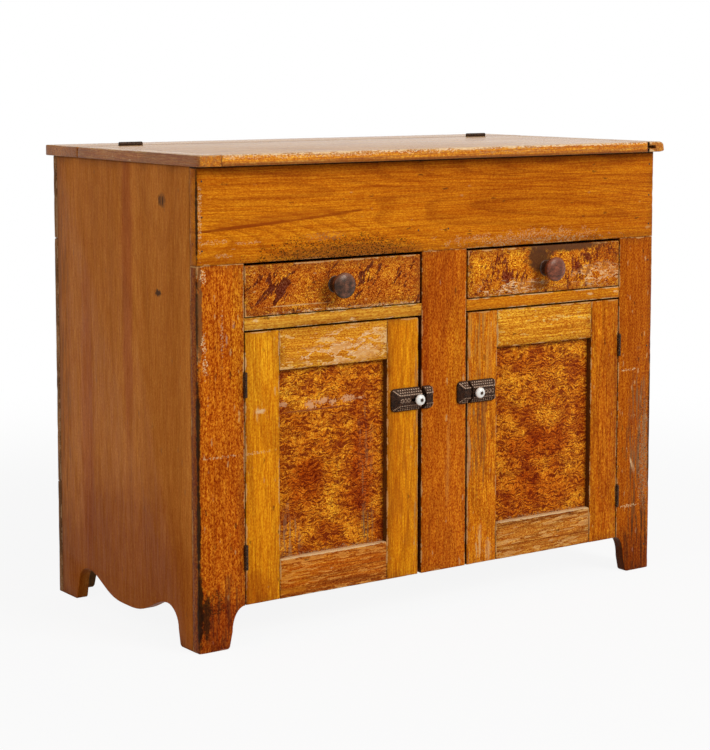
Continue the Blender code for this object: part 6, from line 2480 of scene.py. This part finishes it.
@dataclass
class Studio:
    """The floor, the soft light and the camera."""

    image_height: float = 750.0
    sensor_mm: float = 36.0
    focal_px: float = 2007.0
    principal_y: float = 270.0
    place: Point = (-2.2958, -3.2022, 1.0261)
    yaw: float = 0.61778
    pitch: float = 0.1018
    floor_half: float = 9.0
    floor_level: float = -0.0005
    floor_grey: Colour = (0.70, 0.70, 0.70)
    floor_near: float = 0.90
    floor_fade: Pair = (1.0, 2.6)
    lamp_size: float = 2.4
    key_place: Point = (1.5, -4.6, 3.4)
    key_power: float = 190.0
    fill_place: Point = (-4.2, -1.0, 2.6)
    fill_power: float = 36.0
    aim: Point = (0.0, 0.0, 0.45)
    sky: Colour = (1.0, 0.985, 0.96)
    sky_level: float = 0.42

    def build(self) -> None:
        """Makes the floor, the world, the lamps and the camera."""
        self._floor()
        self._world()
        self._lamp("key_light", self.key_place, self.key_power)
        self._lamp("fill_light", self.fill_place, self.fill_power)
        self._camera()
        bpy.context.scene.view_settings.view_transform = "Standard"

    @staticmethod
    def _seen_directly(graph: Graph) -> Socket:
        """Finds the rays that come from the camera, a mirror or glass.

        Args:
            graph: the tree to look from.

        Returns:
            1 for these rays and 0 for others.
        """
        path = graph.place("ShaderNodeLightPath", {})
        mirror = graph.math("MAXIMUM", path["Is Glossy Ray"], path["Is Transmission Ray"])
        return graph.math("MAXIMUM", path["Is Camera Ray"], mirror)

    def _floor(self) -> None:
        """Makes a plain white floor that keeps a faint shadow."""
        mesh = bpy.data.meshes.new("studio_floor")
        corners = ((-1, -1), (1, -1), (1, 1), (-1, 1))
        places = [(x * self.floor_half, y * self.floor_half, self.floor_level) for x, y in corners]
        mesh.from_pydata(places, [], [(0, 1, 2, 3)])
        floor = linked("studio_floor", mesh)
        material = bpy.data.materials.new("studio_floor_white")
        material.use_nodes = True
        material.node_tree.nodes.clear()
        graph = Graph(material.node_tree)
        far = graph.length(graph.place("ShaderNodeTexCoord", {})["Object"])
        white = graph.spread(far, *self.floor_fade, self.floor_near, 1.0)
        white = graph.times(self._seen_directly(graph), white)
        matt = graph.place("ShaderNodeBsdfDiffuse", {"Color": self.floor_grey})[0]
        bright = graph.place("ShaderNodeEmission", {})[0]
        both = graph.place("ShaderNodeMixShader", {0: white, 1: matt, 2: bright})[0]
        graph.place("ShaderNodeOutputMaterial", {"Surface": both})
        mesh.materials.append(material)

    def _world(self) -> None:
        """Makes an even light from all round, with a white background."""
        world = bpy.data.worlds.new("studio_world")
        bpy.context.scene.world = world
        world.use_nodes = True
        world.node_tree.nodes.clear()
        graph = Graph(world.node_tree)
        soft = graph.place("ShaderNodeBackground", {"Color": self.sky, "Strength": self.sky_level})[0]
        white = graph.place("ShaderNodeBackground", {"Color": NEUTRAL})[0]
        both = graph.place("ShaderNodeMixShader", {0: self._seen_directly(graph), 1: soft, 2: white})[0]
        graph.place("ShaderNodeOutputWorld", {"Surface": both})

    def _lamp(self, name: str, place: Point, power: float) -> None:
        """Makes a square soft lamp aimed at the cupboard.

        Args:
            name: the lamp's name.
            place: where it stands.
            power: its power in watts.
        """
        lamp = bpy.data.lights.new(name, "AREA")
        lamp.size = self.lamp_size
        lamp.energy = power
        made = linked(name, lamp)
        made.location = place
        made.rotation_euler = (Vector(self.aim) - Vector(place)).to_track_quat("-Z", "Y").to_euler()

    def _camera(self) -> None:
        """Makes the camera at the photograph's place, with the little shift that its framing needs."""
        camera = bpy.data.cameras.new("photo_camera")
        camera.sensor_width = self.sensor_mm
        camera.lens = self.focal_px / self.image_height * self.sensor_mm
        camera.shift_y = (self.principal_y - self.image_height / 2) / self.image_height
        made = linked("photo_camera", camera)
        made.location = self.place
        made.rotation_euler = (math.pi / 2 - self.pitch, 0.0, -self.yaw)
        bpy.context.scene.camera = made


def keep_bolts() -> None:
    """Finishes the two bolts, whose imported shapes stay."""
    for side in Side:
        node = frame["nodes"][f"{side.word}_latch_bolt"]
        node.data.materials.clear()
        node.data.materials.append(LATCH_IRON.material())
        LOG.info("%s keeps its packed shape", node.name)


def main() -> None:
    """Builds the sub-assemblies in order, then the studio."""
    logging.basicConfig(level=logging.INFO, format="%(name)s: %(message)s")
    heads = Heads()
    Case().build(heads)
    Lid().build(heads)
    Door(
        Side.LEFT, DOOR_GOLD, RAIL_FLAKED, RAIL_CRAZED, start=-0.4378, end=-0.0572, hinge_x=-0.4388
    ).build(heads)
    Door(
        Side.RIGHT, DOOR_AMBER, RAIL_PALE, RAIL_SCOURED, start=0.0604, end=0.4450, hinge_x=0.4460
    ).build(heads)
    Drawer(Side.LEFT, LEFT_FEATHER, KNOB_GREY, start=-0.4378, end=-0.0532).build()
    Drawer(Side.RIGHT, RIGHT_FEATHER, KNOB_RED, start=0.0604, end=0.4450).build()
    Latch(Side.LEFT, case=(-0.1220, -0.0580), keeper=(-0.0262, -0.0492), stem=-0.0695).build(heads)
    Latch(Side.RIGHT, case=(0.1252, 0.0612), keeper=(0.0334, 0.0564), stem=0.0727).build(heads)
    keep_bolts()
    Studio().build()


if __name__ == "__main__":
    main()
